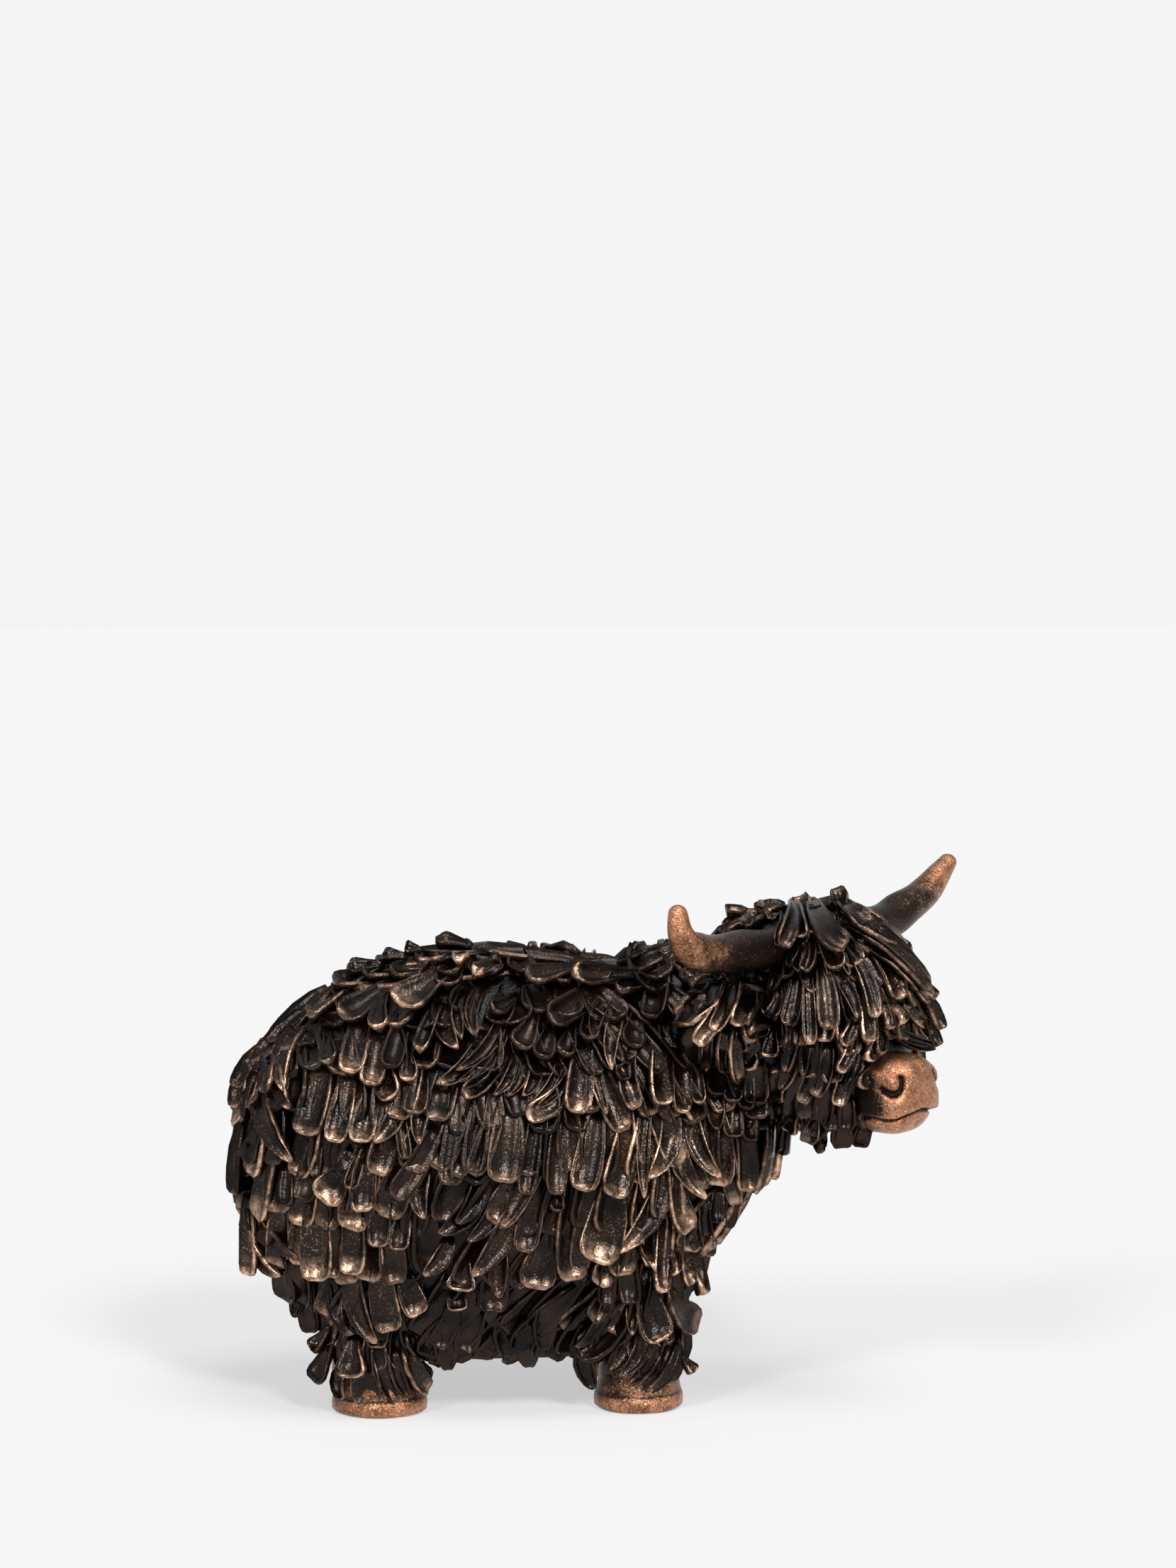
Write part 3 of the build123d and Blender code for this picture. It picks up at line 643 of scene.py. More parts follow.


# The coat of the back: rings of under-locks, long locks that lean to the tail, the ridge and the tail itself.
# A view is the left and top edge of a crop of the photograph and its enlargement. The marks were read
# from crops like that. A lift is how far a lock's root, middle and tip stand off the form, in millimetres.
UNDER_LIFT = (-1.8, 0.0, 1.4)
SHOULDER_VIEW = (640, 1290, 3.92)
SHOULDER_LOCKS = (
    (250, 300, 110, 340, 80, 0, 1.2, 1, 0.7), (130, 230, 20, 268, 75, 0, 1.4, 1, 0.8),
    (640, 270, 160, 215, 100, 0, 1.4, 0, 0.2), (690, 310, 400, 365, 120, 0, 1.2, 1, 0.3),
    (1010, 340, 650, 335, 115, 0, 1.4, 1, 0.4), (1090, 330, 915, 440, 100, 0.05, 1, 0, 0.2),
    (760, 420, 520, 585, 135, 0.05, 1, 0, 0.2), (340, 470, 205, 540, 90, 0.05, 1, 1, 0.2),
    (170, 430, 122, 685, 62, -0.18, 1, 2, 0.3), (60, 470, 45, 700, 62, -0.15, 0.9, 2, 0.3),
    (240, 560, 5, 865, 72, 0.15, 1, 2, 0.3), (245, 650, 15, 930, 60, 0.15, 1, 2, 0.3),
    (250, 760, 45, 1000, 85, 0.12, 1.1, 0, 0.4), (440, 560, 350, 745, 120, 0.05, 1, 1, 0.2),
    (540, 610, 480, 810, 105, 0, 1, 1, 0.15), (330, 800, 215, 1000, 60, 0.1, 1, 2, 0.3),
    (375, 820, 290, 1010, 62, 0.12, 1.1, 2, 0.3), (440, 870, 372, 1005, 66, 0.12, 1.2, 2, 0.5),
    (565, 810, 430, 1030, 56, 0.14, 1, 2, 0.4), (600, 830, 440, 1070, 56, 0.15, 1.1, 2, 0.4),
    (640, 850, 392, 1108, 105, 0.16, 1.2, 0, 0.75), (705, 740, 672, 1105, 125, 0.02, 1.4, 0, 0.8),
    (780, 820, 842, 1110, 62, -0.06, 1.2, 2, 0.5), (640, 620, 600, 790, 90, 0.05, 1.1, 1, 0.2),
    (740, 540, 752, 705, 95, -0.05, 1, 1, 0.2), (850, 500, 775, 700, 70, -0.12, 1, 2, 0.2),
    (930, 560, 875, 865, 72, -0.1, 1.2, 2, 0.8), (1000, 540, 975, 745, 120, 0, 0.9, 1, 0.05),
    (900, 700, 930, 930, 80, 0, 0.8, 0, 0.1), (985, 740, 1012, 1075, 88, -0.1, 1.2, 0, 0.5),
    (1120, 740, 1142, 1058, 112, 0, 1.2, 0, 0.7), (1225, 790, 1245, 1105, 92, 0.04, 1, 0, 0.6),
    (1345, 850, 1365, 1055, 62, 0, 0.9, 0, 0.5), (1150, 330, 1092, 590, 115, 0, 0.9, 0, 0.05),
    (1320, 300, 1290, 390, 90, 0, 1.2, 1, 0.1), (1440, 830, 1450, 1010, 90, 0, 0.6, 0, 0.1),
    (1530, 860, 1540, 1050, 90, 0, 0.6, 1, 0.2), (1610, 880, 1605, 1090, 90, 0, 0.7, 0, 0.1),
    (1450, 1010, 1460, 1200, 90, 0, 0.6, 2, 0.2), (1540, 1050, 1545, 1240, 95, 0, 0.6, 0, 0.2),
    (1625, 1080, 1620, 1260, 90, 0, 0.6, 0, 0.1),
)
BACK_VIEW = (290, 1240, 3.92)
BACK_LOCKS = (
    (650, 665, 388, 932, 135, -0.05, 0.8, 0, 0.05), (920, 530, 590, 780, 95, -0.05, 1.3, 0, 0.3),
    (1010, 600, 748, 775, 140, 0, 1.1, 1, 0.3), (1340, 520, 1060, 705, 175, 0, 1.4, 1, 0.9),
    (1440, 410, 1160, 455, 125, 0, 1.2, 0, 0.5), (1490, 420, 1400, 465, 80, 0, 1.5, 1, 0.9),
    (1570, 490, 1490, 530, 75, 0, 1.5, 1, 0.8), (960, 490, 800, 505, 85, 0, 1.2, 1, 0.05),
    (1100, 450, 985, 440, 75, 0, 1.2, 1, 0.05), (1180, 410, 1100, 400, 70, 0, 1.2, 1, 0.05),
    (1450, 390, 1285, 350, 100, 0, 1.2, 1, 0.05), (570, 770, 285, 1080, 95, -0.1, 1.1, 0, 0.3),
    (590, 840, 445, 1180, 110, -0.2, 1.2, 2, 0.6), (430, 940, 350, 1180, 72, -0.08, 1.1, 0, 0.3),
    (335, 960, 195, 1160, 95, -0.1, 1, 0, 0.3), (700, 880, 700, 1028, 92, -0.08, 1, 1, 0.3),
    (870, 790, 800, 1085, 122, -0.02, 1.3, 0, 0.95), (960, 850, 905, 1150, 110, 0.02, 1.2, 0, 0.85),
    (1000, 1040, 1045, 1215, 112, -0.08, 1.1, 0, 0.85), (1000, 670, 962, 842, 92, -0.1, 1.2, 1, 0.6),
    (1130, 950, 1130, 1128, 85, 0, 1.2, 1, 0.8), (1275, 720, 1182, 962, 72, 0, 1.2, 0, 0.6),
    (1330, 740, 1400, 942, 95, -0.16, 1.1, 2, 0.5), (1465, 680, 1500, 885, 72, -0.12, 1.1, 2, 0.3),
    (1500, 890, 1272, 1135, 92, 0.16, 1.1, 2, 0.6), (1565, 950, 1425, 1165, 82, 0.14, 1, 2, 0.3),
    (1080, 810, 1012, 1060, 105, 0, 0.8, 0, 0.1),
)
upper = []
for height, length in ((118, 22), (107, 24), (94, 26), (81, 26), (67, 26)):
    upper += tier(trunk, height, 22, BEHIND, 7.4, length, 9.0, UNDER_LIFT, kinds=(TONGUE,), shy=0.3)
for height, length in ((119, 20), (113, 26), (101, 28), (88, 29), (74, 29)):
    lift = (-1.8, 0.3, 2.2) if height < 110 else (-2.4, -0.8, 0.8)
    upper += tier(trunk, height, 24, BEHIND, 7.6, length, 8.7, lift, unseen=True)
# the ridge: three rows of locks from the middle of the back to the far side, sunk a little over the rump
RIDGE_HEIGHT, RIDGE_START, RIDGE_STEP, RUMP_DROP = 122, 38, 4.0, 5
for row, drop in ((0, 0.0), (6, 0.9), (11, 2.6)):
    for k in range(18):
        reach = RIDGE_START - RIDGE_STEP * k
        side = (-1) ** k
        sunk = RIDGE_HEIGHT - drop - RUMP_DROP * max(0, -18 - reach) / 18
        root = Vector((reach + 2, row + side * 1.5, sunk - 4.5))
        tip = root + Vector((-17, side * wobble.uniform(4, 10), wobble.uniform(0.5, 2.0)))
        waist = (root + tip) / 2 + Vector((0, 0, 1.2))
        out = Vector((0, side * 0.25 + row / 30, 1))
        upper.append(seat(*(body_place @ (p * MM) for p in (root, waist, tip)), out, 8.4, 2.4, 0.2, TONGUE, 8 * side))
# the tail lies on the rump, in strands down its line
TAIL_LINE = ((-37, 111), (-55, 99), (-65, 81.5), (-67.3, 62), (-66.5, 46))
for (ahead, high), (ahead_next, high_next) in zip(TAIL_LINE, TAIL_LINE[1:]):
    out = Vector((high_next - high, 0, ahead - ahead_next)).normalized()
    for offset in (-2.8, 0.2, 3.2):
        root, tip = Vector((ahead, 3 + offset * 0.5, high)), Vector((ahead_next, 3 + offset, high_next - 5))
        waist = (root + tip) / 2 + out
        tip += out * 1.6
        upper.append(seat(*(body_place @ (p * MM) for p in (root, waist, tip)), out, 6.5, 2.6, 0.3, TONGUE, 6 * offset))
upper += seen_locks(body_skin, BACK_VIEW, BACK_LOCKS)
back_coat = coat("back_coat", upper)
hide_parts("torso_casting")

# The coat of the rump, the flanks and the belly's hem: broad locks that hang nearly straight and curl at their
# tips, with thinner and darker ones below the hem and between the legs.
RUMP_VIEW = (290, 1500, 3.92)
RUMP_LOCKS = (
    (270, 10, 198, 245, 100, -0.1, 1, 0, 0.4), (290, 60, 160, 345, 72, 0.1, 1.2, 2, 0.8),
    (242, 320, 188, 720, 105, -0.06, 0.8, 0, 0.1), (315, 340, 218, 590, 120, 0, 0.9, 1, 0.2),
    (350, 80, 490, 545, 105, -0.14, 1.2, 2, 0.5), (430, -20, 480, 250, 82, -0.1, 1.2, 2, 0.6),
    (660, 50, 560, 405, 150, 0, 1.2, 0, 0.5), (795, 90, 715, 445, 112, 0, 1.2, 0, 0.7),
    (925, 180, 862, 445, 120, -0.04, 1.2, 0, 0.8), (1065, 200, 930, 440, 92, 0.12, 1.1, 2, 0.8),
    (1190, 90, 1152, 290, 112, 0, 1.2, 0, 0.35), (1245, 180, 1182, 455, 82, -0.12, 1.1, 2, 0.4),
    (1070, 270, 1108, 535, 62, 0, 1, 0, 0.2), (620, 450, 552, 770, 115, 0, 0.8, 0, 0.05),
    (800, 500, 640, 760, 155, 0.04, 1.2, 1, 1), (850, 520, 792, 700, 66, 0, 0.9, 0, 0.4),
    (915, 480, 868, 825, 115, -0.05, 1.2, 0, 0.6), (1240, 400, 1035, 740, 112, 0.05, 1.2, 0, 0.2),
    (1225, 600, 1218, 862, 92, -0.16, 1.2, 2, 0.5), (1485, 700, 1282, 942, 112, 0.16, 1.1, 2, 0.3),
    (1400, 290, 1358, 680, 122, 0, 1.1, 0, 0.2), (1525, 220, 1470, 610, 112, 0, 1.1, 0, 0.2),
    (990, 770, 958, 1018, 102, -0.03, 1.1, 0, 0.5), (1110, 850, 1075, 1038, 92, -0.06, 1, 0, 0.4),
    (620, 770, 622, 1205, 150, 0, 1.2, 0, 1), (732, 790, 705, 1185, 82, 0, 0.9, 0, 0.4),
    (842, 840, 820, 1168, 120, 0, 1.2, 0, 1), (480, 600, 472, 790, 92, -0.06, 0.9, 0, 0.2),
    (280, 680, 520, 1070, 92, -0.16, 1, 2, 0.3), (265, 850, 425, 1172, 95, -0.14, 1.1, 2, 0.6),
    (255, 780, 262, 1172, 105, 0, 1, 0, 0.75), (1325, 990, 1195, 1165, 85, 0.12, 1.1, 2, 0.5),
)
FLANK_VIEW = (640, 1540, 3.92)
FLANK_LOCKS = (
    (295, 90, 265, 505, 165, 0.02, 1.3, 0, 0.35), (455, 170, 395, 572, 88, 0, 1, 0, 0.3),
    (580, 140, 556, 572, 98, 0, 1.1, 0, 0.25), (775, 160, 705, 552, 135, 0.03, 1.1, 0, 0.45),
    (965, 130, 865, 582, 148, 0.03, 1.2, 0, 0.6), (1072, 100, 1052, 592, 62, -0.04, 1.4, 2, 0.8),
    (1160, 120, 1065, 482, 112, 0.16, 1.2, 2, 0.85), (1240, 170, 1398, 592, 98, -0.14, 1.3, 2, 0.95),
    (1345, 120, 1482, 472, 92, -0.14, 1.2, 2, 0.9), (1512, 170, 1560, 600, 82, -0.05, 1, 0, 0.6),
    (562, 560, 560, 672, 66, 0, 0.9, 1, 0.2), (462, 530, 385, 888, 112, 0, 1.1, 0, 0.4),
    (662, 560, 650, 1045, 150, -0.03, 1.1, 0, 0.5), (855, 560, 770, 942, 190, 0.05, 1.3, 0, 0.85),
    (1135, 450, 895, 892, 112, 0.12, 1.2, 2, 0.85), (1195, 370, 1285, 778, 125, -0.05, 1.3, 1, 0.95),
    (1382, 600, 1410, 845, 62, -0.04, 1, 0, 0.9), (1450, 560, 1442, 725, 72, 0, 0.8, 0, 0.1),
    (1520, 560, 1510, 752, 72, 0, 0.8, 2, 0.1), (1075, 690, 1112, 985, 82, -0.12, 1.1, 2, 0.8),
    (1142, 730, 1130, 1118, 88, 0, 1.1, 0, 0.8), (1192, 790, 1220, 1015, 58, 0, 1, 2, 0.7),
    (1258, 810, 1288, 1075, 78, -0.03, 1.1, 0, 0.8), (1312, 790, 1362, 1125, 82, -0.03, 1, 0, 0.6),
    (512, 730, 450, 1092, 165, 0, 1.2, 1, 0.5), (305, 630, 95, 1018, 112, 0.1, 1.1, 2, 0.45),
    (235, 540, 68, 825, 92, 0.16, 1, 2, 0.3), (125, 470, 2, 722, 102, 0.16, 0.9, 2, 0.2),
    (65, 940, 40, 1108, 132, 0, 1, 1, 0.6), (262, 890, 260, 1142, 92, -0.05, 0.9, 2, 0.4),
    (955, 890, 985, 1175, 102, 0, 0.8, 0, 0.1), (865, 890, 832, 1175, 82, 0, 0.8, 0, 0.1),
    (145, 20, 12, 475, 92, 0.04, 1, 0, 0.25), (238, 70, 102, 465, 102, 0.04, 1, 0, 0.25),
)
HEM_VIEW = (290, 1180, 1.4255)
HEM_LOCKS = (
    (585, 870, 573, 955, 50, 0, 0.9, 0, 0.15), (480, 985, 487, 1068, 42, 0, 0.9, 2, 0.05),
    (450, 975, 456, 1050, 45, 0, 0.8, 2, 0.05), (600, 970, 604, 1045, 45, 0, 0.8, 2, 0.05),
    (642, 980, 652, 1062, 45, 0, 0.8, 2, 0.05), (680, 950, 677, 1032, 42, 0, 0.8, 2, 0.05),
    (850, 930, 790, 1030, 60, 0.08, 0.9, 2, 0.05), (158, 845, 170, 925, 50, 0, 0.6, 0, 0.1),
    (190, 850, 196, 930, 45, 0, 0.6, 0, 0.1),
)
lower = []
for height, length in ((54, 26), (40, 26), (27, 24), (19, 20)):
    lower += tier(trunk, height, 26, BEHIND, 7.4, length, 9.0, UNDER_LIFT, kinds=(TONGUE,), shy=0.3)
for height, length, first, lift in (
    (60, 29, 30, (-1.8, 0.3, 2.6)), (48, 29, 30, (-1.8, 0.3, 2.6)), (38, 28, 30, (-1.8, 0.3, 2.4)),
    (27, 26, 32, (-1.8, 0.2, 1.6)), (14.5, 24, 34, (-1.8, 0.0, 1.0)),
):
    lower += tier(trunk, height, first, BEHIND, 7.4, length, 8.5, lift, unseen=True)
lower += tier(trunk, 16.0, 30, BEHIND, 6.2, 20, 6.8, (-1.8, -0.6, 0.0), kinds=(SICKLE, SPOON), shy=0.6)
for height in (42, 33, 25, 18):
    lower += tier(trunk, height, AHEAD, 34, 7.0, 20, 7.6, UNDER_LIFT, kinds=(TONGUE, SPOON), shy=0.3)
for view, marks in ((RUMP_VIEW, RUMP_LOCKS), (FLANK_VIEW, FLANK_LOCKS), (HEM_VIEW, HEM_LOCKS)):
    lower += seen_locks(body_skin, view, marks)
flank_coat = coat("flank_coat", lower)
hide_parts("torso_casting")

# The coat of the shoulders and the chest: a mane of locks in rings round the front. On the near side they are
# laid by the marks of the shoulder's view.
chest = []
for height in (116, 98, 80, 62, 44):
    chest += tier(mane, height, AHEAD, 58, 7.2, 24, 8.6, UNDER_LIFT, kinds=(TONGUE,), shy=0.3)
for height, length, last in (
    (113, 18, 38), (106, 20, 44), (96, 24, 50), (86, 25, 55), (75, 25, 58), (64, 25, 58), (54, 24, 54), (43, 22, 46),
    (32, 20, 40), (24, 18, 32),
):
    lift = (-1.6, 0.9, 3.6) if height > 60 else (-2.6, -0.9, 0.4)
    chest += tier(mane, height, AHEAD, last, 6.9, length, 7.8, lift, unseen=True)
chest += seen_locks(body_skin, SHOULDER_VIEW, SHOULDER_LOCKS)
chest_coat = coat("chest_coat", chest)
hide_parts("torso_casting")

# The coat of the legs: three rings of short dark locks to a leg, and on the near side the longer ones that
# come down over the hooves.
REAR_LEG_VIEW = (400, 1780, 4.9)
REAR_LEG_LOCKS = (
    (520, 60, 655, 560, 130, -0.12, 1.3, 2, 0.5), (690, 60, 750, 470, 170, -0.04, 1.4, 0, 0.6),
    (850, 110, 945, 360, 140, -0.05, 1.2, 0, 0.8), (1200, 220, 1215, 345, 115, 0, 1.1, 0, 0.6),
    (1180, 330, 1060, 580, 130, 0.03, 1, 0, 0), (1340, 330, 1235, 605, 140, 0.03, 1, 0, 0),
    (370, 160, 490, 500, 100, -0.1, 1.2, 2, 0.3), (310, 180, 375, 560, 150, -0.03, 1.1, 0, 0.35),
    (185, 160, 220, 470, 130, -0.05, 1, 0, 0.1), (120, 150, 85, 385, 90, 0, 0.9, 2, 0),
    (330, 470, 200, 620, 100, 0.05, 0.9, 1, 0), (350, 540, 225, 840, 160, 0.05, 1, 1, 0.15),
    (500, 540, 470, 810, 185, 0, 1.4, 1, 0.5), (420, 760, 440, 950, 110, -0.1, 1, 2, 0.3),
    (570, 680, 590, 950, 170, -0.03, 1.1, 0, 0.5), (670, 590, 790, 975, 110, -0.1, 1.1, 2, 0.35),
    (760, 640, 845, 920, 85, -0.08, 1.1, 2, 0.3), (830, 620, 965, 870, 115, -0.05, 1.2, 0, 0.5),
    (880, 580, 1010, 805, 110, -0.06, 1, 1, 0.1), (840, 500, 930, 670, 90, -0.05, 1.2, 2, 0.2),
)
FRONT_LEG_VIEW = (700, 1780, 4.9)
FRONT_LEG_LOCKS = (
    (1190, 190, 1365, 420, 180, -0.12, 1.4, 1, 0.4), (1050, 220, 1145, 550, 185, -0.06, 1.3, 0, 0.5),
    (935, 290, 940, 510, 70, 0, 1.4, 2, 0.6), (850, 180, 560, 630, 190, 0.2, 1.2, 0, 0.05),
    (740, 200, 540, 580, 80, 0.12, 1.5, 2, 0.3), (900, 480, 760, 770, 130, 0.12, 1, 2, 0.1),
    (1010, 490, 850, 790, 100, 0.14, 1.1, 2, 0.3), (1090, 530, 905, 830, 90, 0.15, 1.2, 2, 0.3),
    (1140, 590, 960, 860, 85, 0.15, 1.3, 2, 0.3), (1200, 560, 1010, 880, 85, 0.16, 1.4, 2, 0.3),
    (1250, 430, 1140, 820, 95, 0.14, 1.5, 2, 0.4), (1240, 520, 1195, 820, 75, 0.05, 1.4, 2, 0.2),
    (1270, 680, 1345, 775, 80, 0, 1.3, 1, 0.4), (610, 600, 685, 870, 120, -0.1, 0.8, 2, 0.2),
)
LEG_KINDS = (TONGUE, TONGUE, SICKLE)
trousers = []
for leg in legs:
    for height, length, lift in ((24, 18, (-1.5, 0.2, 1.4)), (17, 15, (-1.5, 0.0, 1.0)), (12.5, 13, (-1.5, 0.0, 0.8))):
        trousers += tier(leg, height, AHEAD, BEHIND, 5.8, length, 6.6, lift, LEG_KINDS, marked=False, shy=0.2)
trousers += seen_locks(body_skin, REAR_LEG_VIEW, REAR_LEG_LOCKS)
trousers += seen_locks(body_skin, FRONT_LEG_VIEW, FRONT_LEG_LOCKS)
leg_coat = coat("leg_coat", trousers)
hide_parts("torso_casting")


# The head: a second casting glued on at the neck, turned to the cow's right and tipped a little. Under-locks
# hang all round it; over them the long locks of the fringe fan out from the poll, and cheeks, ears and beard
# have their own. Where the photograph shows a lock, it is laid on the form along the camera's line of sight.
HEAD_LEVELS = (
    (-50, 6, 8.5, 10), (-41, 5.2, 15.5, 17.5), (-28.7, 4.1, 18.5, 21), (-13.8, 3.1, 18.3, 20.2),
    (-2, 2, 16, 17.5), (6, 1.6, 11, 12), (10, 1, 5, 6),
)
HEAD_TURN, HEAD_ROLL = radians(-47), radians(3)
HEAD_PLACE = (
    body_place
    @ Matrix.Translation((0.091, -0.012, 0.1265))
    @ Matrix.Rotation(HEAD_TURN, 4, "Z")
    @ Matrix.Rotation(HEAD_ROLL, 4, "X")
)
# ears, poll, crown and nape: a lump's middle on the head, its half sizes and its locks' lengths
HEAD_LUMPS = (
    ((-6, 30, -10), (5.0, 10.5, 6.5), 11), ((-8, -35, -17), (6.0, 12, 10), 14), ((-7, -15, 2.5), (8, 11, 6), 9),
    ((-5, 2, 2.5), (9, 11, 5.5), 10), ((-14, -12, -6), (9, 14, 13), 16), ((-12, 12, -5), (9, 13, 11), 16),
)
LUMP_SLICES = (-0.985, -0.85, -0.55, 0.0, 0.55, 0.85, 0.985)

head = (HEAD_PLACE, HEAD_LEVELS)
lumps = []
for centre, (long, wide_mm, tall_mm), _ in HEAD_LUMPS:
    levels = tuple((tall_mm * c, 0, long * (1 - c * c) ** 0.5, wide_mm * (1 - c * c) ** 0.5) for c in LUMP_SLICES)
    lumps.append((HEAD_PLACE @ Matrix.Translation(Vector(centre) * MM), levels))
head_core = join_meshes(
    "head_core", [form_mesh("head_form", head)] + [form_mesh("head_lump", lump, rows=14, around=28) for lump in lumps]
)
store(head_core, "deep", [1.0] * len(head_core.data.vertices))
head_core.data.materials.append(bronze)
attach(head_core, "root")
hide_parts("head_casting")
head_skin = skin_of(head_core)


hair = []
for height, length, first in (
    (-49, 15, 16), (-41, 18, 15), (-33, 20, 15), (-25, 20, AHEAD), (-16, 20, AHEAD), (-8, 18, AHEAD),
    (-1, 14, AHEAD), (5, 10, AHEAD),
):
    hair += tier(head, height, first, BEHIND, 5.8, length, 6.6, UNDER_LIFT, kinds=(TONGUE,), marked=False)
for height, length, first in (
    (-47, 15, 18), (-38, 18, 18), (-29, 20, 17), (-21, 20, 10), (-12, 20, 8), (-4, 18, 6), (3, 13, 5),
):
    hair += tier(head, height, first, BEHIND, 5.6, length, 5.8, (-2.2, -0.8, 0.9), marked=False, unseen=True)

for lump, (_, (_, _, tall_mm), length) in zip(lumps, HEAD_LUMPS):
    for share in (-0.9, -0.55, -0.15, 0.25, 0.6):
        high, hidden = share * tall_mm, lump is not lumps[0]
        hair += tier(lump, high, AHEAD, BEHIND, 5.4, length, 6.0, (-1.2, 0.4, 1.6), marked=False, unseen=hidden)

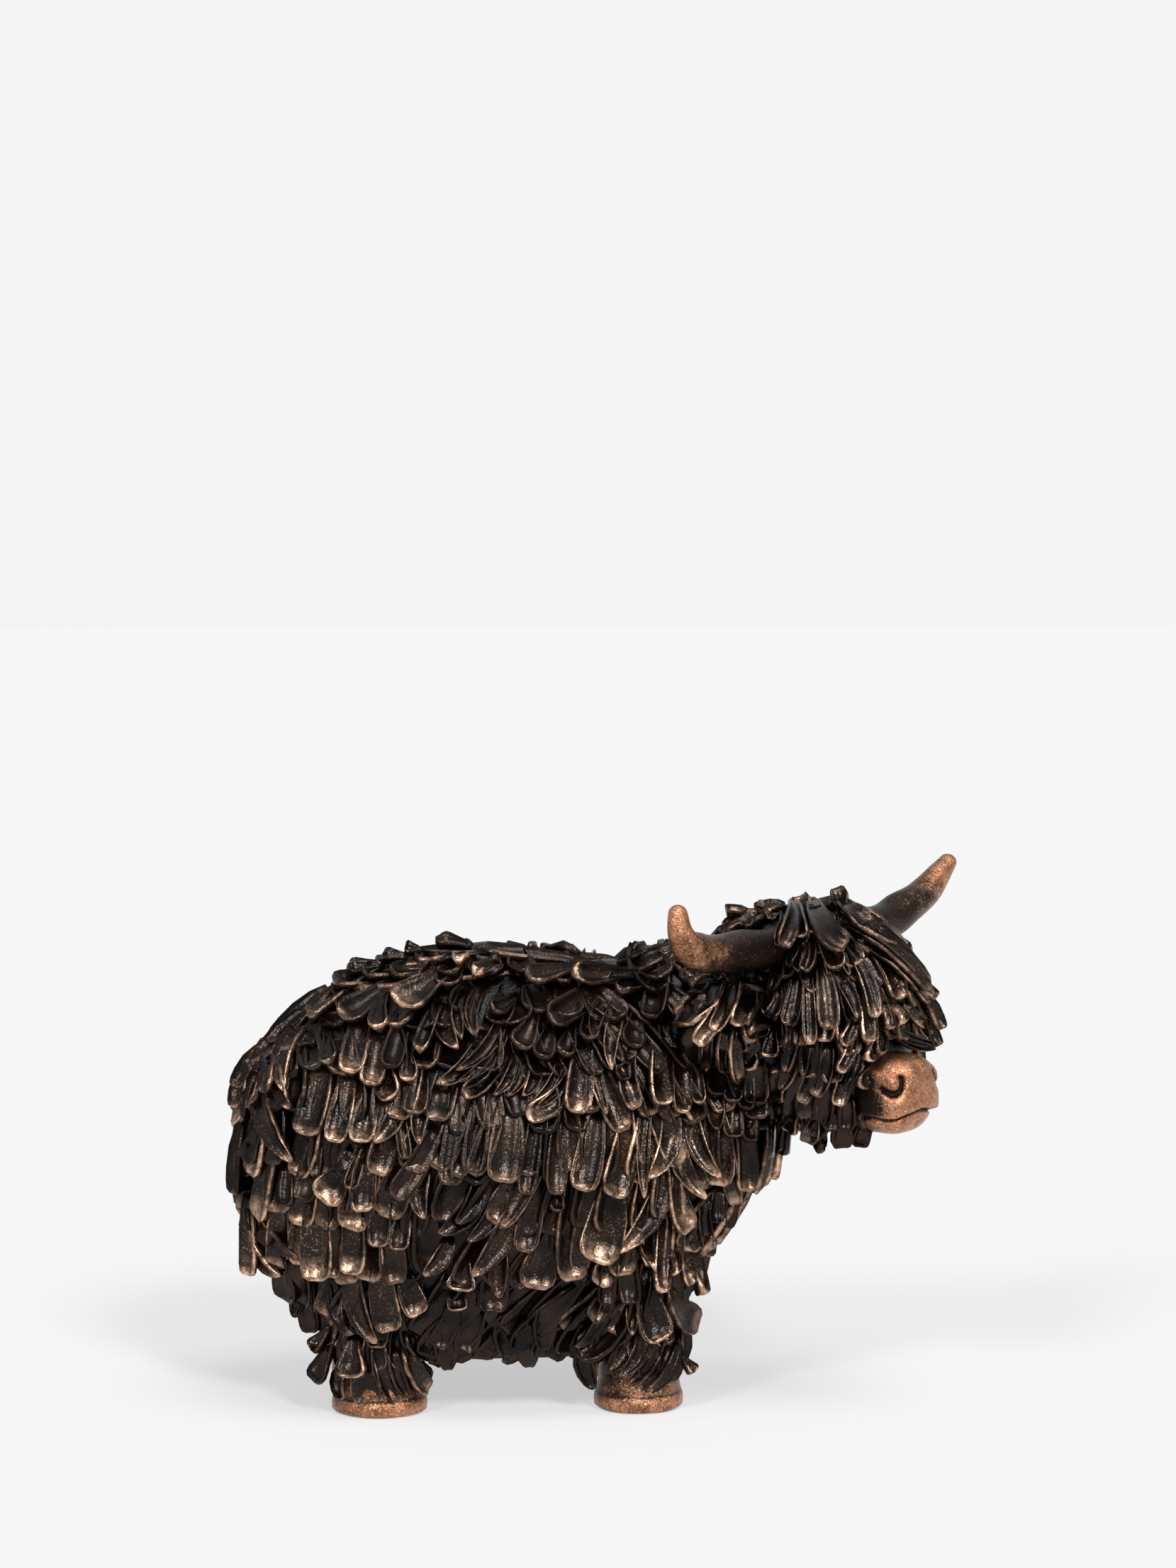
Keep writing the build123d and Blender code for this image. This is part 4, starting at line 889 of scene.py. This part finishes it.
HEAD_VIEW = (930, 1190, 3.484)
SEEN_HAIR = (
    # cheek and jaw, lowest first
    (900, 1300, 890, 1475, 95, 0, 0.2, 0, 0), (1010, 1330, 965, 1480, 90, 0, 0.2, 0, 0),
    (780, 1340, 775, 1520, 70, 0, 0.3, 2, 0.1), (640, 1380, 625, 1530, 60, 0, 0.3, 0, 0.2),
    (560, 1380, 545, 1545, 70, 0, 0.3, 0, 0.2), (620, 1290, 440, 1385, 70, 0.08, 0.5, 2, 0.1),
    (690, 1280, 640, 1425, 85, 0.06, 0.8, 1, 0.5), (780, 1280, 735, 1440, 85, 0.05, 0.8, 1, 0.4),
    (860, 1260, 848, 1400, 85, 0, 0.7, 1, 0.2), (930, 1240, 925, 1390, 80, 0, 0.5, 0, 0),
    (480, 1050, 475, 1290, 120, 0, 0.8, 0, 0.15), (560, 1080, 560, 1250, 90, 0, 0.4, 0, 0),
    (680, 1030, 600, 1215, 75, 0.08, 0.9, 2, 0.3), (770, 960, 700, 1262, 72, 0.08, 1.1, 0, 0.5),
    (840, 980, 770, 1235, 72, 0.08, 1.2, 0, 0.35), (915, 980, 862, 1280, 75, 0.08, 1.2, 0, 0.6),
    (1040, 1050, 968, 1188, 75, 0.1, 0.9, 1, 0.5), (980, 1010, 905, 1190, 65, 0.08, 0.7, 2, 0.1),
    (430, 950, 468, 1118, 85, 0, 1.2, 0, 0.5), (600, 860, 430, 945, 85, -0.06, 1.4, 0, 0.3),
    (570, 890, 545, 1055, 85, 0, 1.6, 1, 0.6), (665, 870, 632, 1128, 80, 0.05, 1.3, 2, 0.6),
    (940, 890, 868, 1118, 60, 0.12, 1.5, 0, 0.6),
    # below the ear
    (240, 930, 222, 1070, 50, 0, 0.6, 0, 0.5), (225, 1000, 232, 1112, 50, 0, 0.4, 0, 0.4),
    (300, 910, 286, 1082, 52, 0, 1, 0, 0.6), (352, 870, 370, 1155, 62, -0.03, 1.4, 0, 0.7),
    (410, 800, 430, 985, 80, 0, 1.2, 0, 0.3), (480, 790, 520, 960, 85, 0, 0.9, 1, 0.1),
    # the ear's fan
    (470, 660, 430, 890, 100, 0.05, 1.8, 1, 0.3), (400, 670, 350, 890, 80, 0.08, 2.2, 0, 0.7),
    (345, 660, 265, 915, 72, 0.08, 2.4, 0, 0.6), (320, 665, 175, 972, 84, 0.1, 2.7, 0, 0.8),
    (290, 655, 100, 895, 96, 0.14, 3, 0, 0.75),
    # over the muzzle and the far cheek
    (1090, 880, 1075, 1045, 52, 0, 0.9, 0, 0.3), (1060, 900, 1005, 1062, 62, 0.1, 1.1, 0, 0.7),
    (1130, 930, 1345, 1010, 46, -0.1, 0.9, 2, 0.2), (1120, 900, 1330, 985, 50, -0.08, 1.2, 2, 0.2),
    (1290, 820, 1350, 1000, 60, 0, 0.9, 0, 0.2), (1280, 740, 1362, 918, 75, 0.06, 1.3, 0, 0.4),
    (1200, 640, 1300, 860, 80, 0, 1, 0, 0.2), (1230, 660, 1345, 775, 72, 0, 1.3, 0, 0.3),
    (1240, 860, 1310, 950, 55, 0, 1.3, 0, 0.4), (1170, 800, 1268, 902, 50, 0.06, 1.6, 0, 0.6),
    (1120, 800, 1185, 890, 46, 0.06, 1.6, 0, 0.7), (1085, 790, 1115, 918, 52, 0.06, 1.8, 0, 0.5),
    (1050, 880, 1160, 960, 46, 0, 0.8, 2, 0.1),
    # the fringe's lower fall
    (560, 660, 520, 850, 70, 0.06, 1.2, 2, 0.3), (620, 640, 560, 880, 66, 0.06, 1.4, 0, 0.1),
    (690, 640, 640, 900, 86, 0.02, 1.5, 0, 0.2), (610, 500, 560, 740, 80, 0.08, 1.5, 2, 0.1),
    (945, 830, 880, 978, 62, 0.16, 2, 0, 0.7), (975, 720, 1012, 978, 84, 0.06, 2, 0, 0.75),
    (735, 610, 750, 990, 64, 0, 2.2, 0, 0.6), (860, 640, 970, 862, 62, 0.1, 2.4, 2, 0.5),
    (905, 500, 1045, 862, 72, 0.1, 2.7, 0, 0.7), (800, 580, 836, 918, 98, 0.02, 2.8, 0, 0.35),
    (660, 470, 690, 640, 70, 0.05, 2.2, 2, 0.2), (745, 470, 712, 632, 62, 0.12, 2.6, 0, 0.4),
    (690, 440, 640, 620, 60, 0.08, 2.2, 2, 0.1),
    # the long locks that sweep to the cow's left, and the crown
    (925, 470, 1308, 775, 92, 0.14, 2.4, 0, 0.6), (900, 400, 1300, 715, 96, 0.1, 2.8, 0, 0.4),
    (905, 360, 1250, 640, 96, 0.08, 3.1, 0, 0.2), (880, 280, 1180, 492, 110, -0.06, 3.4, 0, 0.5),
    (790, 420, 882, 622, 92, 0.03, 3.4, 0, 0.4), (600, 340, 585, 500, 74, 0.06, 2.4, 1, 0.2),
    (650, 300, 602, 490, 80, 0.08, 3.2, 0, 0.3), (690, 300, 722, 462, 66, -0.06, 3.5, 0, 0.4),
    (760, 300, 902, 512, 112, -0.08, 3.9, 0, 0.25), (900, 400, 873, 240, 80, -0.1, 1.6, 1, 0.3),
    (560, 330, 440, 420, 90, -0.06, 0.4, 0, 0.1), (620, 320, 480, 350, 80, -0.05, 0.5, 0, 0.1),
    (480, 370, 345, 430, 80, -0.1, 0.2, 0, 0.2), (440, 370, 330, 350, 62, -0.1, 0.3, 0, 0.3),
)
hair += seen_locks(head_skin, HEAD_VIEW, SEEN_HAIR, breadth=0.9, reach=0.0)
head_coat = coat("head_coat", hair)
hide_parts("head_casting")


# The bare muzzle: cast with the head, rubbed to bright copper and pitted by the mould. It is a blunt round
# form with a hooked nostril at each corner, a mouth slit that droops at its ends, and a set-back chin.
MUZZLE_MIDDLE = (22.0, -39.2)
MUZZLE_HALF = (11.8, 11.9, 11.3)
MOUTH = ((-78, -4.8), (-60, -5.6), (-45, -5.6), (-27, -4.6), (0, -3.6))
NOSTRIL = ((-66, 3.2), (-59, 2.4), (-52, 1.9), (-45, 1.9), (-38, 2.6), (-32, 4.2), (-30, 6.0))
DEGREE = 0.21


def distance_to(line, x, y):
    """Shortest distance in millimetres from a point to a drawn line, both as degrees round and height."""
    best = 1e9
    for (ax, ay), (bx, by) in zip(line, line[1:]):
        ux, uy, px, py = (bx - ax) * DEGREE, by - ay, (x - ax) * DEGREE, y - ay
        share = max(0.0, min(1.0, (px * ux + py * uy) / (ux * ux + uy * uy)))
        best = min(best, hypot(px - ux * share, py - uy * share))
    return best


muzzle_rings, bare = [], []
for row in range(1, 90):
    side = radians(-90 + 2 * row)
    ring = []
    for k in range(200):
        turn = 2 * pi * k / 200
        lateral = copysign(abs(sin(side)) ** 0.78, sin(side))
        reach = abs(cos(side)) ** 0.68
        forward = reach * copysign(abs(cos(turn)) ** 0.68, cos(turn))
        upward = reach * copysign(abs(sin(turn)) ** 0.72, sin(turn))
        degrees = -abs(90 - 2 * row)
        high = upward * MUZZLE_HALF[2]
        sunk = slit = curl = 0.0
        if cos(turn) > -0.2:
            # the slit between the lips, the chin set back below it and the upper lip's roll
            lip_line = -3.6 - 2.0 * min(1.0, abs(degrees) / 45) ** 1.3
            chin = 1 / (1 + exp((high - lip_line) / 0.3))
            slit = exp(-((distance_to(MOUTH, degrees, high) / 0.55) ** 2))
            sunk += 1.6 * slit
            sunk += 1.7 * chin * (0.4 + 0.6 * cos(side))
            sunk -= 0.3 * exp(-(((high - lip_line - 1.6) / 1.4) ** 2)) * cos(side)
            # the nostril's crescent, the ball behind it and its lower rim, fainter on the far side, and the groove
            clear = 1.0 if side < 0 else 0.35
            curl = exp(-((distance_to(NOSTRIL, degrees, high) / 0.95) ** 2))
            sunk += 1.9 * curl * clear
            sunk -= 1.5 * exp(-((hypot((degrees + 46) * DEGREE, high - 5.6) / 2.2) ** 2)) * clear
            sunk -= 0.7 * exp(-((hypot((degrees + 40) * DEGREE, high + 1.2) / 2.4) ** 2)) * clear
            sunk += 0.3 * exp(-((degrees / 5) ** 2)) * (1 if high > -3.5 else 0.3)
        point = Vector(
            (
                MUZZLE_MIDDLE[0] + forward * (MUZZLE_HALF[0] - sunk),
                lateral * (MUZZLE_HALF[1] - sunk),
                MUZZLE_MIDDLE[1] + upward * (MUZZLE_HALF[2] - sunk * 0.2),
            )
        )
        ring.append(HEAD_PLACE @ (point * MM))
        shaded = max(0.0, min(1.0, (-52 - degrees) / 20)) if high > -4 else 0.0
        bare.append(max(0.0, min(1.0, (point.x - 17) / 9) - max(0.8 * slit, 1.0 * curl, 0.75 * shaded)))
    muzzle_rings.append(ring)
muzzle = closed_mesh("muzzle", muzzle_rings)
store(muzzle, "bare", bare)

# Rubbed copper powder: warm metal with dark stain left in its pits, a third of a millimetre to a millimetre
# wide. The less a place is rubbed, the more of the stain stays.
copper, tree = start_finish("rubbed_copper_cold_cast")
place = add_node(tree, "ShaderNodeTexCoord")
rubbed = add_node(tree, "ShaderNodeAttribute", attribute_name="bare").outputs["Fac"]
stain = noise(tree, place, 1700.0, 4.0, 0.7)
cloud = noise(tree, place, 260.0, 3.0, 0.6)
through = reckoned(tree, "MULTIPLY_ADD", stain, 0.8, reckoned(tree, "MULTIPLY_ADD", cloud, 0.9, rubbed))
tones = mixed(tree, cloud, srgb("#7c4529"), srgb("#e6a67e"))
tint = mixed(tree, mapped(tree, through, 1.12, 1.75), srgb("#2c2018"), tones)
tint = mixed(tree, mapped(tree, stain, 0.36, 0.46, 0.3, 1.0), srgb("#241912"), tint)
# where wire wool has polished single grains, a nearly white painted glint is mixed into the copper's colour
polished_grain_and_painted_glint = reckoned(tree, "MULTIPLY", mapped(tree, stain, 0.58, 0.66, 0.0, 0.8), rubbed)
tint = mixed(tree, polished_grain_and_painted_glint, tint, srgb("#ffe2c8"))
rough = mapped(tree, stain, 0.0, 1.0, 0.14, 0.34)
dents = dented(tree, stain, 0.42, 0.0006)
close_finish(tree, {"Base Color": tint, "Metallic": 0.9, "Roughness": rough, "Normal": dents})
muzzle.data.materials.append(copper)
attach(muzzle, "root")
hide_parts("head_casting")


# The horns: two small castings, glued and pinned in sockets on the head. Each runs out sideways, then
# sweeps up to a blunt tip; stain stays dark at the root and copper shows towards the tip.
HORN_LINES = {
    "right_horn": (
        (19, 2.6, 5.9), (27, 2.7, 5.5), (35.5, 3.5, 5.5), (44, 3.9, 5.4), (51, 5.0, 5.2), (55.6, 6.8, 4.8),
        (58.5, 9.5, 4.1), (60.2, 13.0, 3.3), (60.5, 16.8, 2.6),
    ),
    "left_horn": (
        (19, 2.6, 5.8), (27, 3.4, 5.4), (33.5, 5.2, 5.4), (41.5, 7.6, 4.8), (46.8, 10.2, 4.2), (51.6, 13.4, 3.6),
        (56.1, 16.4, 2.6),
    ),
}
for (name, line), side in zip(HORN_LINES.items(), (-1, 1)):
    before, after = (tuple(2 * a - b for a, b in zip(*pair)) for pair in (line[:2], line[:-3:-1]))
    ends = [before, *line, after]
    stations = []
    for k in range(len(line) - 1):
        for part in range(6):
            t = part / 6
            stations.append(
                [  # the curve through the line's points
                    0.5 * (2 * b + (c - a) * t + (2 * a - 5 * b + 4 * c - d) * t * t + (3 * b - a - 3 * c + d) * t**3)
                    for a, b, c, d in zip(*ends[k : k + 4])
                ]
            )
    stations.append(list(line[-1]))
    # the tip is rounded off in five more rings
    (ax, az, _), (bx, bz, blunt) = stations[-2:]
    reach = hypot(bx - ax, bz - az)
    for turn in (0.35, 0.7, 1.0, 1.25, 1.45):
        over = blunt * sin(turn) / reach
        stations.append([bx + (bx - ax) * over, bz + (bz - az) * over, blunt * cos(turn)])
    rings, bare = [], []
    for row, (lateral, rise, radius) in enumerate(stations):
        after, before = stations[min(row + 1, len(stations) - 1)], stations[max(row - 1, 0)]
        upright = Vector((0, -(after[1] - before[1]) * side, after[0] - before[0])).normalized()
        centre = Vector((0, lateral * side, rise))
        ring = []
        for k in range(28):
            turn = k * pi / 14
            lumpy = 1 + 0.03 * sin(2 * turn + row * 0.4) + 0.02 * sin(3 * turn - row * 0.3)
            away = Vector((1, 0, 0)) * cos(turn) + upright * sin(turn)
            ring.append(HEAD_PLACE @ ((centre + away * radius * lumpy) * MM))
        rings.append(ring)
        bare += [max(0.12, min(1.0, (row / len(stations) - 0.15) / 0.7))] * 28
    horn = closed_mesh(f"{name}_cast", rings)
    store(horn, "bare", bare)
    horn.data.materials.append(copper)
    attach(horn, "root")
    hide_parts(name)


# The hooves: bell-shaped feet of the big casting with a band round the rim, rubbed to copper at the floor,
# with the copper painted paler on each hoof's front-right side as a painted highlight from the front lamps.
# A profile point is a radius, a height and how bare the copper is there.
HOOF_PROFILE = (
    (9.9, 1.02, 0.0), (10.2, 0.2, 0.2), (12.2, 0.25, 0.6), (12.9, 0.9, 0.9), (13.0, 2.6, 0.9), (12.8, 3.9, 0.8),
    (12.4, 4.6, 0.25), (12.3, 5.2, 0.5), (12.0, 6.8, 0.6), (11.5, 8.8, 0.5), (11.0, 11.0, 0.3), (10.2, 13.5, 0.0),
    (9.2, 15.0, 0.0),
)
feet = []
for index, (x, y) in enumerate(HOOF_PLACES):
    rings, bare = [], []
    for radius, height_mm, rubbed_bare in HOOF_PROFILE:
        radius *= 0.955 if x > 0 and radius > 11 else 1.0
        ring = []
        for k in range(48):
            turn = 2 * pi * k / 48
            out = radius * (1 + 0.015 * sin(2 * turn + index) + 0.01 * sin(5 * turn + 2 * index))
            ring.append(body_place @ (Vector((x + out * cos(turn), y + out * sin(turn), height_mm)) * MM))
            # painted highlight: every hoof's copper is paler on its side towards the front and the cow's right, where
            # the front softbox lights it
            bare.append(rubbed_bare * (0.75 + 0.25 * cos(turn + 0.8)))
        rings.append(ring)
    foot = closed_mesh(f"hoof_{index}", rings)
    store(foot, "bare", bare)
    feet.append(foot)
hooves = join_meshes("hooves", feet)
hooves.data.materials.append(copper)
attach(hooves, "root")
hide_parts("torso_casting")

# The fittings keep their CAD shapes. Felt discs glued in the hooves spare the table, a moulded rubber plug closes
# the vent in the belly, and steel pins with a satin turned finish hold the head and the horns.
FITTINGS = (
    (
        "black_wool_felt", "#1b1a19", 0.95, 0.0, 900.0,
        ("front_right_pad", "front_left_pad", "rear_right_pad", "rear_left_pad"),
    ),
    ("moulded_black_rubber", "#201f1e", 0.6, 0.0, 300.0, ("belly_plug",)),
    ("turned_satin_steel", "#9d9c9a", 0.35, 1.0, 700.0, ("neck_dowel", "left_horn_pin", "right_horn_pin")),
)
for title, colour, roughness, metallic, grain, nodes in FITTINGS:
    finish, tree = start_finish(title)
    place = add_node(tree, "ShaderNodeTexCoord")
    # fibres, mould grain or tool marks of one to three millimetres' pitch
    dents = dented(tree, noise(tree, place, grain, 3.0), 0.4, 0.0003)
    values = {"Base Color": srgb(colour), "Roughness": roughness, "Metallic": metallic, "Normal": dents}
    close_finish(tree, values)
    for node in nodes:
        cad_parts[node].data.materials[0] = finish

for leaf in leaves.values():
    bpy.data.objects.remove(leaf)
